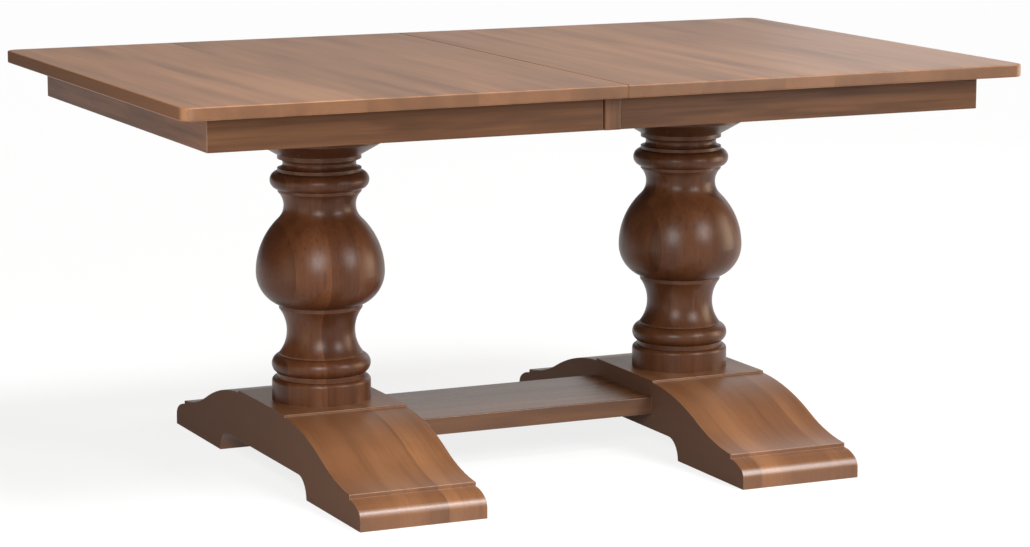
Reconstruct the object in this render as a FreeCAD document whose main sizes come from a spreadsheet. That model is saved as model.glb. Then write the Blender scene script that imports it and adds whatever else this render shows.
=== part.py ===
"""Double pedestal dining table, 42 by 66 inches, with a top that divides in the middle.

Two turned columns stand on sledge feet joined by a plank stretcher. Each half of the top slides
on wooden dovetail rails, and a rack and pinion on each rail keeps the two halves in step.

Frame: origin on the floor under the middle of the top, +X along the table, -Y towards the front
and +Z up. Millimetres.
"""
import FreeCAD
import Part
import Sketcher
import math
import os
from types import SimpleNamespace

SIZES = {
    # Table top
    "top_length": 1676.4,
    "top_width": 1066.8,
    "table_height": 774.7,
    "top_thickness": 23.8,
    "seam_gap": 0.5,
    "corner_radius": 24.0,
    "edge_round": 3.0,
    "seam_chamfer": 0.8,
    # Alignment pins across the seam
    "pin_radius": 4.75,
    "pin_length": 50.0,
    "pin_chamfer": 1.5,
    "inner_pin_offset": 100.0,
    "outer_pin_offset": 400.0,
    "socket_clearance": 0.3,
    # Apron and its blocks
    "apron_height": 64.2,
    "apron_thickness": 20.0,
    "apron_inset": 66.0,
    "apron_round": 1.5,
    "block_width": 32.0,
    "block_proud": 5.0,
    "block_gap": 2.5,
    "block_round": 3.0,
    "block_top_gap": 0.5,
    "backing_length": 80.0,
    "backing_thickness": 22.0,
    "backing_height": 60.0,
    "corner_leg": 90.0,
    "corner_depth": 40.0,
    "corner_nose": 14.0,
    "glue_block_side": 22.0,
    "glue_block_length": 70.0,
    "glue_block_first": 190.0,
    "glue_block_second": 470.0,
    "glue_block_end": 50.0,
    # Slides
    "rail_spacing": 340.0,
    "rail_height": 56.0,
    "rail_length": 1200.0,
    "slide_travel": 304.8,
    "slide_gap": 2.0,
    "slide_clearance": 0.5,
    "runner_width": 38.0,
    "runner_grip": 45.2,
    "runner_relief": 1.0,
    "tongue_depth": 10.0,
    "tongue_neck": 12.0,
    "tongue_tip": 18.0,
    "tongue_rise": 22.0,
    # Rack and pinion
    "gear_module": 2.5,
    "tooth_backlash": 0.3,
    "mesh_gap": 0.1,
    "pinion_thickness": 12.0,
    "pinion_lift": 0.3,
    "pinion_bore": 4.05,
    "pinion_pin_radius": 4.0,
    "pinion_pin_grip": 20.0,
    "pinion_head_radius": 7.0,
    "pinion_head_height": 2.5,
    "notch_depth": 16.0,
    "notch_margin": 2.0,
    "rack_side_gap": 1.0,
    "rack_setback": 0.1,
    "rack_web": 6.0,
    "rack_margin": 6.0,
    # Table locks, offset from the middle between the runner and the apron
    "lock_offset": 20.7,
    "lock_pivot_setback": 40.0,
    "lock_reach": 65.0,
    "lock_swing": 100.0,
    "lock_gap": 0.3,
    "lever_width": 20.0,
    "lever_thickness": 4.0,
    "lever_tail": 35.0,
    "lever_nose": 12.0,
    "lever_round": 4.0,
    "lock_plate_length": 60.0,
    "lock_plate_width": 34.0,
    "lock_plate_thickness": 2.5,
    "pivot_radius": 4.0,
    "pivot_clearance": 0.05,
    "pivot_head_radius": 7.0,
    "pivot_head_height": 2.5,
    "stud_radius": 3.5,
    "stud_tail": 2.0,
    "keeper_width": 36.0,
    "hook_clearance": 0.3,
    # Feet
    "pedestal_spacing": 769.7,
    "foot_width": 246.7,
    "foot_length": 996.4,
    "foot_height": 138.6,
    "plate_length": 250.6,
    "plate_step": 4.1,
    "sweep_mid_reach": 313.9,
    "sweep_mid_height": 90.5,
    "sweep_hollow": 6.0,
    "lip_height": 57.0,
    "lip_step": 7.9,
    "toe_depth": 51.5,
    "toe_base": 18.2,
    "toe_nose_depth": 10.6,
    "toe_nose_height": 19.3,
    "arch_length": 467.6,
    "arch_height": 40.7,
    "foot_round": 1.2,
    # Columns, from the foot up to the bulb and from the top down to the neck
    "collar_radius": 94.5,
    "collar_height": 43.2,
    "collar_round": 8.2,
    "groove_radius": 84.8,
    "groove_height": 8.7,
    "lower_ring_height": 34.9,
    "lower_ring_band": 2.6,
    "hollow_radius": 65.1,
    "hollow_height": 86.5,
    "bulb_band": 6.6,
    "bulb_lower_height": 62.7,
    "bulb_radius": 122.6,
    "band_radius": 79.7,
    "ring_radius": 94.4,
    "neck_height": 52.6,
    "neck_band": 4.9,
    "upper_ring_height": 33.9,
    "upper_ring_band": 6.1,
    "scotia_height": 18.1,
    "scotia_radius": 69.6,
    "scotia_shelf": 2.0,
    "capital_band": 7.5,
    "flare_height": 25.1,
    "rim_radius": 123.6,
    "rim_height": 24.6,
    # Bearers on the columns
    "bearer_width": 220.0,
    "bearer_thickness": 35.0,
    "bearer_margin": 20.0,
    "bearer_chamfer": 15.0,
    # Stretcher
    "stretcher_width": 246.0,
    "stretcher_thickness": 33.8,
    "stretcher_height": 71.8,
    "stretcher_round": 2.0,
    "bolt_spacing": 140.0,
    "bolt_radius": 4.0,
    "bolt_grip": 55.0,
    "bolt_proud": 4.0,
    "bolt_chamfer": 1.0,
    "bolt_washer_clearance": 0.4,
    "bolt_washer_radius": 9.0,
    "bolt_washer_thickness": 1.6,
    "bolt_nut_flats": 13.0,
    "bolt_nut_height": 6.5,
    "pocket_setback": 36.0,
    "pocket_length": 30.0,
    "pocket_width": 26.0,
    "pocket_rise": 11.0,
    # Tie rods through the pedestals
    "rod_radius": 6.0,
    "rod_clearance": 1.0,
    "rod_proud": 5.0,
    "rod_washer_radius": 15.0,
    "rod_washer_thickness": 2.5,
    "rod_nut_flats": 19.0,
    "rod_nut_height": 10.0,
    "sink_depth": 22.0,
    "sink_radius": 19.0,
    "thread_clearance": 0.05,
    # Dowels and wood screws
    "dowel_radius": 6.0,
    "dowel_length": 60.0,
    "dowel_chamfer": 1.5,
    "dowel_clearance": 0.1,
    "dowel_end_gap": 1.0,
    "column_dowel_offset": 55.0,
    "stretcher_dowel_offset": 104.0,
    "screw_radius": 2.5,
    "screw_clearance": 0.15,
    "screw_point": 6.0,
    "screw_head_radius": 4.6,
    "screw_head_height": 3.2,
    "screw_seat_radius": 5.6,
    "screw_seat_depth": 5.0,
    "column_screw_offset": 68.0,
    "column_screw_grip": 40.0,
    "rail_screw_offset": 70.0,
    "rail_screw_grip": 24.0,
    "runner_screw_first": 60.0,
    "runner_screw_pitch": 160.0,
    "runner_screw_grip": 15.0,
    "runner_seat_depth": 28.0,
}

# An even number of teeth puts a tooth on each side of the pinion, so both racks mesh at rest.
PINION_TEETH = 18
PRESSURE_ANGLE = math.radians(20)
ADDENDUM = 1.0
DEDENDUM = 1.25
# Teeth on a rack past the pinion at each end of the travel
SPARE_TEETH = 2
SCREWS_PER_RUNNER = 4

LEFT, RIGHT = -1, 1
FRONT, REAR = -1, 1
SIDE_NAMES = {LEFT: "left", RIGHT: "right"}
ROW_NAMES = {FRONT: "front", REAR: "rear"}

DOC = FreeCAD.newDocument("table")
SHEET = DOC.addObject("Spreadsheet::Sheet", "Sizes")
for line, (alias, number) in enumerate(SIZES.items(), start=1):
    SHEET.set(f"A{line}", str(number))
    SHEET.setAlias(f"A{line}", alias)
DOC.recompute()

NODES = []


class Length:
    """A size that carries its value and the sheet expression that it comes from."""

    def __init__(self, value, text):
        self.value = value
        self.text = text

    def __add__(self, other):
        other = as_length(other)
        return Length(self.value + other.value, f"({self.text} + {other.text})")

    def __sub__(self, other):
        other = as_length(other)
        return Length(self.value - other.value, f"({self.text} - {other.text})")

    def __mul__(self, other):
        other = as_length(other)
        return Length(self.value * other.value, f"({self.text} * {other.text})")

    def __truediv__(self, other):
        other = as_length(other)
        return Length(self.value / other.value, f"({self.text} / {other.text})")

    def __rsub__(self, other):
        return as_length(other) - self

    def __neg__(self):
        return self * -1

    def root(self):
        return Length(math.sqrt(self.value), f"sqrt({self.text})")

    __radd__ = __add__
    __rmul__ = __mul__


def as_length(number):
    """Return number as a Length, so that plain factors mix with sizes."""
    if isinstance(number, Length):
        return number
    return Length(float(number), f"({float(number)})")


size = SimpleNamespace(**{name: Length(float(SHEET.get(name)), f"Sizes.{name}") for name in SIZES})


def bind(thing, name, amount):
    """Tie a property of a document object to a size."""
    thing.setExpression(name, as_length(amount).text)


def place(thing, x=0, y=0, z=0):
    """Tie a document object's place to three sizes."""
    for axis, amount in zip("xyz", (x, y, z)):
        bind(thing, f"Placement.Base.{axis}", amount)


def new_node(label, kind="PartDesign::Body"):
    """Add a sub-part that is written to its own file."""
    node = DOC.addObject(kind, label)
    node.Label = label
    NODES.append(node)
    return node


def corner(u, v, kind="line", amount=0):
    """A corner of an outline, and the line or arc that leads to it from the corner before.

    A "rise" arc is given by its height over its chord and a "round" arc by its radius, and either
    turns left when that is positive. A "tangent" arc carries on from what comes before it.
    """
    return SimpleNamespace(u=as_length(u), v=as_length(v), kind=kind, amount=as_length(amount))


def rectangle(u0, u1, v0, v1):
    """The corners of an upright rectangle."""
    return [corner(u0, v0), corner(u1, v0), corner(u1, v1), corner(u0, v1)]


def arc_centre(start, end, tangent, kind, amount):
    """Find an arc's centre and whether it turns left, from its ends and one more measure."""
    chord = end - start
    left = FreeCAD.Vector(-chord.y, chord.x, 0).normalize()
    if kind == "tangent":
        side = FreeCAD.Vector(-tangent.y, tangent.x, 0)
        radius = chord.Length ** 2 / (2 * chord.dot(side))
        return start + side * radius, radius > 0
    sign = math.copysign(1, amount)
    if kind == "rise":
        radius = (chord.Length ** 2 / 4 + amount ** 2) / (2 * abs(amount))
        offset = radius - abs(amount)
    else:
        offset = math.sqrt(amount ** 2 - chord.Length ** 2 / 4)
    return (start + end) / 2 + left * (sign * offset), sign > 0


def add_arc(sketch, start, end, centre, turns_left):
    """Draw an arc, and return its index, its two end numbers and its direction where it ends."""
    first, last = (start, end) if turns_left else (end, start)
    circle = Part.Circle(centre, FreeCAD.Vector(0, 0, 1), (start - centre).Length)
    angles = [math.atan2(point.y - centre.y, point.x - centre.x) for point in (first, last)]
    index = sketch.addGeometry(Part.ArcOfCircle(circle, *angles))
    spoke = (end - centre).normalize()
    direction = FreeCAD.Vector(-spoke.y, spoke.x, 0) * (1 if turns_left else -1)
    return index, (1, 2) if turns_left else (2, 1), direction


def draw(sketch, corners):
    """Draw a closed outline and tie each corner and arc to its sizes."""
    points = [FreeCAD.Vector(item.u.value, item.v.value, 0) for item in corners]
    count = len(corners)
    direction = None
    pieces = []
    for number in range(1, count + 1):
        start, end, item = points[number - 1], points[number % count], corners[number % count]
        if item.kind == "line":
            index, ends = sketch.addGeometry(Part.LineSegment(start, end)), (1, 2)
            direction = (end - start).normalize()
        else:
            centre, turns_left = arc_centre(start, end, direction, item.kind, item.amount.value)
            index, ends, direction = add_arc(sketch, start, end, centre, turns_left)
        pieces.append((index, ends, item, corners[number - 1]))
    rules = []
    texts = []
    followers = pieces[1:] + pieces[:1]
    for (index, ends, item, before), (after, after_ends, next_item, _) in zip(pieces, followers):
        for name, amount in (("DistanceX", item.u), ("DistanceY", item.v)):
            rules.append(Sketcher.Constraint(name, index, ends[1], amount.value))
            texts.append(amount.text)
        joint = "Tangent" if next_item.kind == "tangent" else "Coincident"
        rules.append(Sketcher.Constraint(joint, index, ends[1], after, after_ends[0]))
        texts.append(None)
        if item.kind in ("rise", "round"):
            radius = arc_radius(before, item)
            rules.append(Sketcher.Constraint("Radius", index, radius.value))
            texts.append(radius.text)
    tie(sketch, rules, texts)


def arc_radius(before, item):
    """The radius of a rise or round arc as a size."""
    turn = math.copysign(1, item.amount.value)
    if item.kind == "round":
        return item.amount * turn
    across = item.u - before.u
    along = item.v - before.v
    return ((across * across + along * along) / 4 + item.amount * item.amount) / (item.amount * (2 * turn))


def tie(sketch, rules, texts):
    """Add constraints to a sketch and bind those that have an expression."""
    first = sketch.ConstraintCount
    sketch.addConstraint(rules)
    for number, text in enumerate(texts, start=first):
        if text:
            sketch.setExpression(f"Constraints[{number}]", text)


def sketch_on(body, plane, level):
    """Start a sketch on one of a body's own planes, raised along the plane's normal."""
    sketch = body.newObject("Sketcher::SketchObject", "Sketch")
    support = next(item for item in body.Origin.OriginFeatures if item.Role == f"{plane}_Plane")
    sketch.AttachmentSupport = [(support, "")]
    sketch.MapMode = "FlatFace"
    bind(sketch, "AttachmentOffset.Base.z", level)
    return sketch


def pad(body, plane, corners, level, height):
    """Raise an outline into a solid from a level along the plane's normal."""
    sketch = sketch_on(body, plane, level)
    draw(sketch, corners)
    feature = body.newObject("PartDesign::Pad", "Pad")
    feature.Profile = sketch
    bind(feature, "Length", height)
    return feature


def pocket(body, sketch, depth):
    """Cut a sketch into its body along the sketch's normal, and make sure that it cuts."""
    before = body.Shape.Volume
    feature = body.newObject("PartDesign::Pocket", "Pocket")
    feature.Profile = sketch
    feature.Reversed = True
    bind(feature, "Length", depth)
    DOC.recompute()
    if not body.Shape.Volume < before:
        raise RuntimeError(f"a pocket in {body.Label} cuts nothing")
    return feature


def cut(body, plane, corners, level, depth):
    """Cut an outline into a body."""
    DOC.recompute()
    sketch = sketch_on(body, plane, level)
    draw(sketch, corners)
    return pocket(body, sketch, depth)


def drill(body, plane, centres, radius, level, depth):
    """Drill equal round holes into a body."""
    DOC.recompute()
    sketch = sketch_on(body, plane, level)
    rules = []
    texts = []
    for u, v in centres:
        across, along = as_length(u), as_length(v)
        centre = FreeCAD.Vector(across.value, along.value, 0)
        index = sketch.addGeometry(Part.Circle(centre, FreeCAD.Vector(0, 0, 1), radius.value))
        rules.append(Sketcher.Constraint("DistanceX", index, 3, across.value))
        rules.append(Sketcher.Constraint("DistanceY", index, 3, along.value))
        rules.append(Sketcher.Constraint("Radius", index, radius.value))
        texts += [across.text, along.text, radius.text]
    tie(sketch, rules, texts)
    return pocket(body, sketch, depth)


def turn(body, corners):
    """Turn an outline of radius and height about the body's upright axis."""
    sketch = sketch_on(body, "XZ", 0)
    draw(sketch, corners)
    feature = body.newObject("PartDesign::Revolution", "Revolution")
    feature.Profile = sketch
    feature.ReferenceAxis = (sketch, ["V_Axis"])
    feature.Angle = 360
    return feature


def ease(body, kind, amount, chosen):
    """Round or chamfer the edges of a body whose middle point is chosen."""
    DOC.recompute()
    base = body.Tip
    edges = []
    for number, edge in enumerate(base.Shape.Edges, start=1):
        first, last = edge.ParameterRange
        if chosen(edge.valueAt((first + last) / 2)):
            edges.append(f"Edge{number}")
    feature = body.newObject(f"PartDesign::{kind}", kind)
    feature.Base = (base, edges)
    bind(feature, "Radius" if kind == "Fillet" else "Size", amount)
    return feature


def near(value, amount):
    """Whether a coordinate lies at a size."""
    return abs(value - as_length(amount).value) < 1e-4


def group(label, master, places, rotation=FreeCAD.Rotation()):
    """Make one node of equal pieces, a linked copy of the master at each place."""
    copies = []
    for item in places:
        copy = DOC.addObject("App::Link", f"{label}_copy")
        copy.LinkedObject = master
        turned = item[3] if len(item) > 3 else rotation
        copy.Placement = FreeCAD.Placement(FreeCAD.Vector(), turned)
        place(copy, *item[:3])
        copies.append(copy)
    node = new_node(label, "Part::Compound")
    node.Links = copies
    return node


# Levels and faces that several sub-parts share
UNDERSIDE = size.table_height - size.top_thickness
BEARER_TOP = UNDERSIDE - size.slide_gap - size.rail_height
COLUMN_TOP = BEARER_TOP - size.bearer_thickness
APRON_BOTTOM = UNDERSIDE - size.apron_height
APRON_END = size.top_length / 2 - size.apron_inset
APRON_FACE = size.top_width / 2 - size.apron_inset
APRON_BACK = APRON_FACE - size.apron_thickness
SEAM = size.seam_gap / 2
PEDESTAL = size.pedestal_spacing / 2
RAIL_Y = size.rail_spacing / 2
PITCH_RADIUS = size.gear_module * (PINION_TEETH / 2)
PITCH_LINE = PITCH_RADIUS + size.mesh_gap
RACK_TIP = PITCH_LINE - size.gear_module * ADDENDUM
RACK_ROOT = PITCH_LINE + size.gear_module * DEDENDUM
RACK_BACK = RACK_ROOT + size.rack_web
RUNNER_FACE = RACK_TIP - size.rack_setback
RAIL_HALF = RUNNER_FACE - size.slide_clearance
RUNNER_BACK = RUNNER_FACE + size.runner_width
RUNNER_BOTTOM = UNDERSIDE - size.rail_height
RUNNER_LAP = size.slide_travel + size.runner_grip
TONGUE_LEVEL = BEARER_TOP + size.tongue_rise
NOTCH_FLOOR = BEARER_TOP + size.rail_height - size.notch_depth
PINION_BOTTOM = NOTCH_FLOOR + size.pinion_lift
RACK_BOTTOM = PINION_BOTTOM - size.rack_side_gap
RACK_HEIGHT = size.pinion_thickness + size.rack_side_gap * 2
TOOTH_PITCH = size.gear_module * math.pi
LOCK_Y = (RAIL_Y + RUNNER_BACK + APRON_BACK) / 2 - size.lock_offset
BOLT_LEVEL = size.stretcher_height + size.stretcher_thickness / 2
FOOT_INNER = PEDESTAL - size.foot_width / 2
ROD_BORE = size.rod_radius + size.rod_clearance
SCREW_HOLE = size.screw_radius + size.screw_clearance
DOWEL_HOLE = size.dowel_radius + size.dowel_clearance
DOWEL_DEPTH = size.dowel_length / 2 + size.dowel_end_gap


def pin_places():
    """Offsets of the alignment pins from the middle of the seam."""
    offsets = (size.inner_pin_offset, size.outer_pin_offset)
    return [row * offset for row in (FRONT, REAR) for offset in offsets]


def runner_direction(side, row):
    """Which way a runner lies from its rail: the left half's runners are outside, the right's inside."""
    return -side * row


def runner_screw_places(side, row):
    """Middle points of the screws that hold a runner under its own half of the top."""
    y = row * RAIL_Y + runner_direction(side, row) * ((RACK_BACK + RUNNER_BACK) / 2)
    steps = range(SCREWS_PER_RUNNER)
    return [(side * (size.runner_screw_first + size.runner_screw_pitch * step), y) for step in steps]


def top_half(side):
    """One half of the top: a glued-up panel with rounded corners, eased edges and a square seam."""
    body = new_node(f"{SIDE_NAMES[side]}_top")
    end = side * size.top_length / 2
    edge = size.top_width / 2
    pad(body, "XY", rectangle(side * SEAM, end, -edge, edge), UNDERSIDE, size.top_thickness)
    ease(body, "Fillet", size.corner_radius, lambda point: near(point.x, end) and near(abs(point.y), edge))
    levels = (UNDERSIDE, size.table_height)

    def on_rim(point):
        return any(near(point.z, level) for level in levels) and not near(point.x, side * SEAM)

    ease(body, "Fillet", size.edge_round, on_rim)
    ease(body, "Chamfer", size.seam_chamfer, lambda point: near(point.x, side * SEAM))
    middle = UNDERSIDE + size.top_thickness / 2
    socket = size.pin_radius + size.socket_clearance
    depth = size.pin_length / 2 + size.dowel_end_gap
    level = SEAM if side == RIGHT else -SEAM - depth
    radius = size.pin_radius if side == RIGHT else socket
    drill(body, "YZ", [(y, middle) for y in pin_places()], radius, level, depth)
    pilots = [point for row in (FRONT, REAR) for point in runner_screw_places(side, row)]
    drill(body, "XY", pilots, SCREW_HOLE, UNDERSIDE, size.runner_screw_grip + size.dowel_end_gap)


def side_apron(side, row):
    """A long apron board, mitred at the corner and stopped short of the middle by the apron block."""
    body = new_node(f"{SIDE_NAMES[side]}_{ROW_NAMES[row]}_apron")
    inner = size.block_width / 2 + (size.block_gap if side == LEFT else 0)
    outline = [
        corner(side * inner, row * APRON_FACE),
        corner(side * APRON_END, row * APRON_FACE),
        corner(side * (APRON_END - size.apron_thickness), row * APRON_BACK),
        corner(side * inner, row * APRON_BACK),
    ]
    pad(body, "XY", outline, APRON_BOTTOM, size.apron_height)
    ease_apron(body, lambda point: near(abs(point.y), APRON_FACE) or near(abs(point.y), APRON_BACK))


def end_apron(side):
    """The apron board across the end of one half, mitred at both corners."""
    body = new_node(f"{SIDE_NAMES[side]}_end_apron")
    back = APRON_END - size.apron_thickness
    outline = [
        corner(side * APRON_END, -APRON_FACE),
        corner(side * APRON_END, APRON_FACE),
        corner(side * back, APRON_BACK),
        corner(side * back, -APRON_BACK),
    ]
    pad(body, "XY", outline, APRON_BOTTOM, size.apron_height)
    ease_apron(body, lambda point: near(abs(point.x), APRON_END) or near(abs(point.x), back))


def ease_apron(body, along):
    """Round the two long lower edges of an apron board."""
    ease(body, "Fillet", size.apron_round, lambda point: near(point.z, APRON_BOTTOM) and along(point))


def apron_block(row):
    """The block that covers the joint between the two aprons and stays with the right half."""
    body = new_node(f"{ROW_NAMES[row]}_apron_block")
    half = size.block_width / 2
    face = row * (APRON_FACE + size.block_proud)
    outline = rectangle(-half, half, row * APRON_BACK, face)
    pad(body, "XY", outline, APRON_BOTTOM, size.apron_height - size.block_top_gap)
    ease(body, "Fillet", size.block_round, lambda point: near(point.y, face))


def backing_block(row):
    """The block behind the joint that holds the apron block to the right half."""
    body = new_node(f"{ROW_NAMES[row]}_backing_block")
    inner = APRON_BACK - size.backing_thickness
    outline = rectangle(SEAM, SEAM + size.backing_length, row * inner, row * APRON_BACK)
    pad(body, "XY", outline, UNDERSIDE - size.backing_height, size.backing_height)


def corner_block(side, row):
    """A brace glued across the inside of an apron corner, with a blunt nose."""
    body = new_node(f"{SIDE_NAMES[side]}_{ROW_NAMES[row]}_corner_block")
    x = APRON_END - size.apron_thickness
    y = APRON_BACK
    outline = [
        corner(side * x, row * y),
        corner(side * x, row * (y - size.corner_leg)),
        corner(side * (x - size.corner_nose), row * (y - size.corner_leg)),
        corner(side * (x - size.corner_leg), row * (y - size.corner_nose)),
        corner(side * (x - size.corner_leg), row * y),
    ]
    pad(body, "XY", outline, UNDERSIDE - size.corner_depth, size.corner_depth)


def glue_blocks(side):
    """The square blocks glued in the angle between the apron boards and the top."""
    thick = size.glue_block_side
    long = size.glue_block_length
    end = APRON_END - size.apron_thickness
    boxes = []
    for row in (FRONT, REAR):
        for offset in (size.glue_block_first, size.glue_block_second):
            low_y = APRON_BACK - thick if row == REAR else -APRON_BACK
            boxes.append((long, thick, side * offset - long / 2, low_y))
        low_x = end - thick if side == RIGHT else -end
        boxes.append((thick, long, low_x, row * size.glue_block_end - long / 2))
    blocks = []
    for across, along, x, y in boxes:
        block = DOC.addObject("Part::Box", "glue_block")
        bind(block, "Length", across)
        bind(block, "Width", along)
        bind(block, "Height", thick)
        place(block, x, y, UNDERSIDE - thick)
        blocks.append(block)
    new_node(f"{SIDE_NAMES[side]}_glue_blocks", "Part::Compound").Links = blocks


def rail(row):
    """The fixed centre rail of one slide, with a dovetail groove in each side and a pinion notch."""
    body = new_node(f"{ROW_NAMES[row]}_rail")
    y = row * RAIL_Y
    top = BEARER_TOP + size.rail_height
    start = -size.rail_length / 2
    pad(body, "YZ", rectangle(y - RAIL_HALF, y + RAIL_HALF, BEARER_TOP, top), start, size.rail_length)
    for way in (-1, 1):
        face = y + way * RAIL_HALF
        floor = face - way * size.tongue_depth
        mouth = size.tongue_neck / 2 + size.slide_clearance
        back = size.tongue_tip / 2 + size.slide_clearance
        groove = [
            corner(face, TONGUE_LEVEL - mouth),
            corner(face, TONGUE_LEVEL + mouth),
            corner(floor, TONGUE_LEVEL + back),
            corner(floor, TONGUE_LEVEL - back),
        ]
        cut(body, "YZ", groove, start, size.rail_length)
    reach = PITCH_RADIUS + size.gear_module * ADDENDUM + size.notch_margin
    notch = rectangle(-reach, reach, y - RAIL_HALF, y + RAIL_HALF)
    cut(body, "XY", notch, NOTCH_FLOOR, size.notch_depth)
    grip = size.pinion_pin_grip + size.dowel_end_gap
    drill(body, "XY", [(0, y)], size.pinion_bore, NOTCH_FLOOR - grip, grip)
    pilots = rail_screw_places(row)
    drill(body, "XY", pilots, SCREW_HOLE, BEARER_TOP, size.rail_screw_grip + size.dowel_end_gap)


def rail_screw_places(row):
    """Middle points of the screws that come up through the bearers into a rail."""
    shifts = (-size.rail_screw_offset, size.rail_screw_offset)
    return [(side * PEDESTAL + shift, row * RAIL_Y) for side in (LEFT, RIGHT) for shift in shifts]


def runner(side, row):
    """A sliding runner: a dovetail tongue in the rail, and a rack let into its face."""
    body = new_node(f"{SIDE_NAMES[side]}_{ROW_NAMES[row]}_runner")
    way = runner_direction(side, row)
    middle = row * RAIL_Y
    face = middle + way * RUNNER_FACE
    back = middle + way * RUNNER_BACK
    tip = face - way * size.tongue_depth
    profile = [
        corner(face, RUNNER_BOTTOM),
        corner(back, RUNNER_BOTTOM),
        corner(back, UNDERSIDE),
        corner(face, UNDERSIDE),
        corner(face, TONGUE_LEVEL + size.tongue_neck / 2),
        corner(tip, TONGUE_LEVEL + size.tongue_tip / 2),
        corner(tip, TONGUE_LEVEL - size.tongue_tip / 2),
        corner(face, TONGUE_LEVEL - size.tongue_neck / 2),
    ]
    start = -size.rail_length / 2 if side == LEFT else -RUNNER_LAP
    pad(body, "YZ", profile, start, size.rail_length / 2 + RUNNER_LAP)
    lap = rectangle(0, -side * RUNNER_LAP, face, back)
    cut(body, "XY", lap, UNDERSIDE - size.runner_relief, size.runner_relief)
    low, high = rack_span(side)
    recess = rectangle(low, high, face, middle + way * RACK_BACK)
    cut(body, "XY", recess, RACK_BOTTOM, RACK_HEIGHT)
    holes = runner_screw_places(side, row)
    drill(body, "XY", holes, size.screw_seat_radius, RUNNER_BOTTOM, size.runner_seat_depth)
    drill(body, "XY", holes, SCREW_HOLE, RUNNER_BOTTOM, size.rail_height)


def rack_gaps():
    """How many tooth gaps a rack needs: the travel, the one at rest and the spare ones at each end."""
    return math.ceil(size.slide_travel.value / TOOTH_PITCH.value) + 1 + 2 * SPARE_TEETH


def rack_span(side):
    """The two ends of a rack along the table."""
    near_end = TOOTH_PITCH * (SPARE_TEETH + 0.5) + size.rack_margin
    far_end = TOOTH_PITCH * (rack_gaps() - SPARE_TEETH - 0.5) + size.rack_margin
    return (-near_end, far_end) if side == LEFT else (-far_end, near_end)


def rack(side, row):
    """A straight toothed rack whose first gaps face the pinion at rest."""
    body = new_node(f"{SIDE_NAMES[side]}_{ROW_NAMES[row]}_rack")
    way = runner_direction(side, row)
    middle = row * RAIL_Y
    low, high = rack_span(side)
    blank = rectangle(low, high, middle + way * RACK_TIP, middle + way * RACK_BACK)
    pad(body, "XY", blank, RACK_BOTTOM, RACK_HEIGHT)
    slope = math.tan(PRESSURE_ANGLE)
    mouth = TOOTH_PITCH / 4 + size.gear_module * (ADDENDUM * slope)
    floor = TOOTH_PITCH / 4 - size.gear_module * (DEDENDUM * slope)
    first = TOOTH_PITCH * (SPARE_TEETH * side)
    gap = [
        corner(first - mouth, middle + way * RACK_TIP),
        corner(first + mouth, middle + way * RACK_TIP),
        corner(first + floor, middle + way * RACK_ROOT),
        corner(first - floor, middle + way * RACK_ROOT),
    ]
    tooth_gap = cut(body, "XY", gap, RACK_BOTTOM, RACK_HEIGHT)
    pattern = body.newObject("PartDesign::LinearPattern", "LinearPattern")
    pattern.Originals = [tooth_gap]
    pattern.Direction = (tooth_gap.Profile[0], ["H_Axis"])
    pattern.Reversed = side == RIGHT
    pattern.Occurrences = rack_gaps()
    bind(pattern, "Length", TOOTH_PITCH * (rack_gaps() - 1))
    body.Tip = pattern


def involute(angle):
    """The involute function of a pressure angle in radians."""
    return math.tan(angle) - angle


def pinion(row):
    """A spur gear with involute flanks, drawn as one tooth after another round the bore."""
    module = size.gear_module.value
    pitch = PITCH_RADIUS.value
    base = pitch * math.cos(PRESSURE_ANGLE)
    tip = pitch + module * ADDENDUM
    root = pitch - module * DEDENDUM
    half_tooth = math.pi / (2 * PINION_TEETH) - size.tooth_backlash.value / (2 * pitch)

    def polar(radius, angle):
        return FreeCAD.Vector(radius * math.cos(angle), radius * math.sin(angle), 0)

    def flank(radius):
        pressure = math.acos(min(1.0, base / radius))
        return half_tooth + involute(PRESSURE_ANGLE) - involute(pressure)

    radii = (base, (base + tip) / 2, tip)
    edges = []
    for tooth in range(PINION_TEETH):
        axis = math.pi / 2 + tooth * 2 * math.pi / PINION_TEETH
        follow = axis + 2 * math.pi / PINION_TEETH
        rising = [polar(radius, axis - flank(radius)) for radius in radii]
        falling = [polar(radius, axis + flank(radius)) for radius in reversed(radii)]
        foot = polar(root, axis + flank(base))
        next_foot = polar(root, follow - flank(base))
        edges.append(Part.LineSegment(polar(root, axis - flank(base)), rising[0]).toShape())
        edges.append(Part.Arc(*rising).toShape())
        edges.append(Part.Arc(rising[2], polar(tip, axis), falling[0]).toShape())
        edges.append(Part.Arc(*falling).toShape())
        edges.append(Part.LineSegment(falling[2], foot).toShape())
        edges.append(Part.Arc(foot, polar(root, (axis + follow) / 2), next_foot).toShape())
    thickness = size.pinion_thickness.value
    blank = Part.Face(Part.Wire(edges)).extrude(FreeCAD.Vector(0, 0, thickness))
    gear = new_node(f"{ROW_NAMES[row]}_pinion", "Part::Feature")
    gear.Shape = blank.cut(Part.makeCylinder(size.pinion_bore.value, thickness))
    place(gear, 0, row * RAIL_Y, PINION_BOTTOM)


def master(name):
    """Start a body that is copied into groups and not written by itself."""
    return DOC.addObject("PartDesign::Body", name)


def headed_pin(name, head_radius, head_height, shank_radius, length, point=0):
    """A pin or screw standing on its head: the head seats at height 0 and the shank points up."""
    body = master(name)
    tail = [corner(shank_radius, length - point), corner(0, length)]
    if not point:
        tail = [corner(shank_radius, length), corner(0, length)]
    head = rectangle(0, head_radius, -head_height, 0)[:3]
    turn(body, head + [corner(shank_radius, 0)] + tail)
    return body


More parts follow.
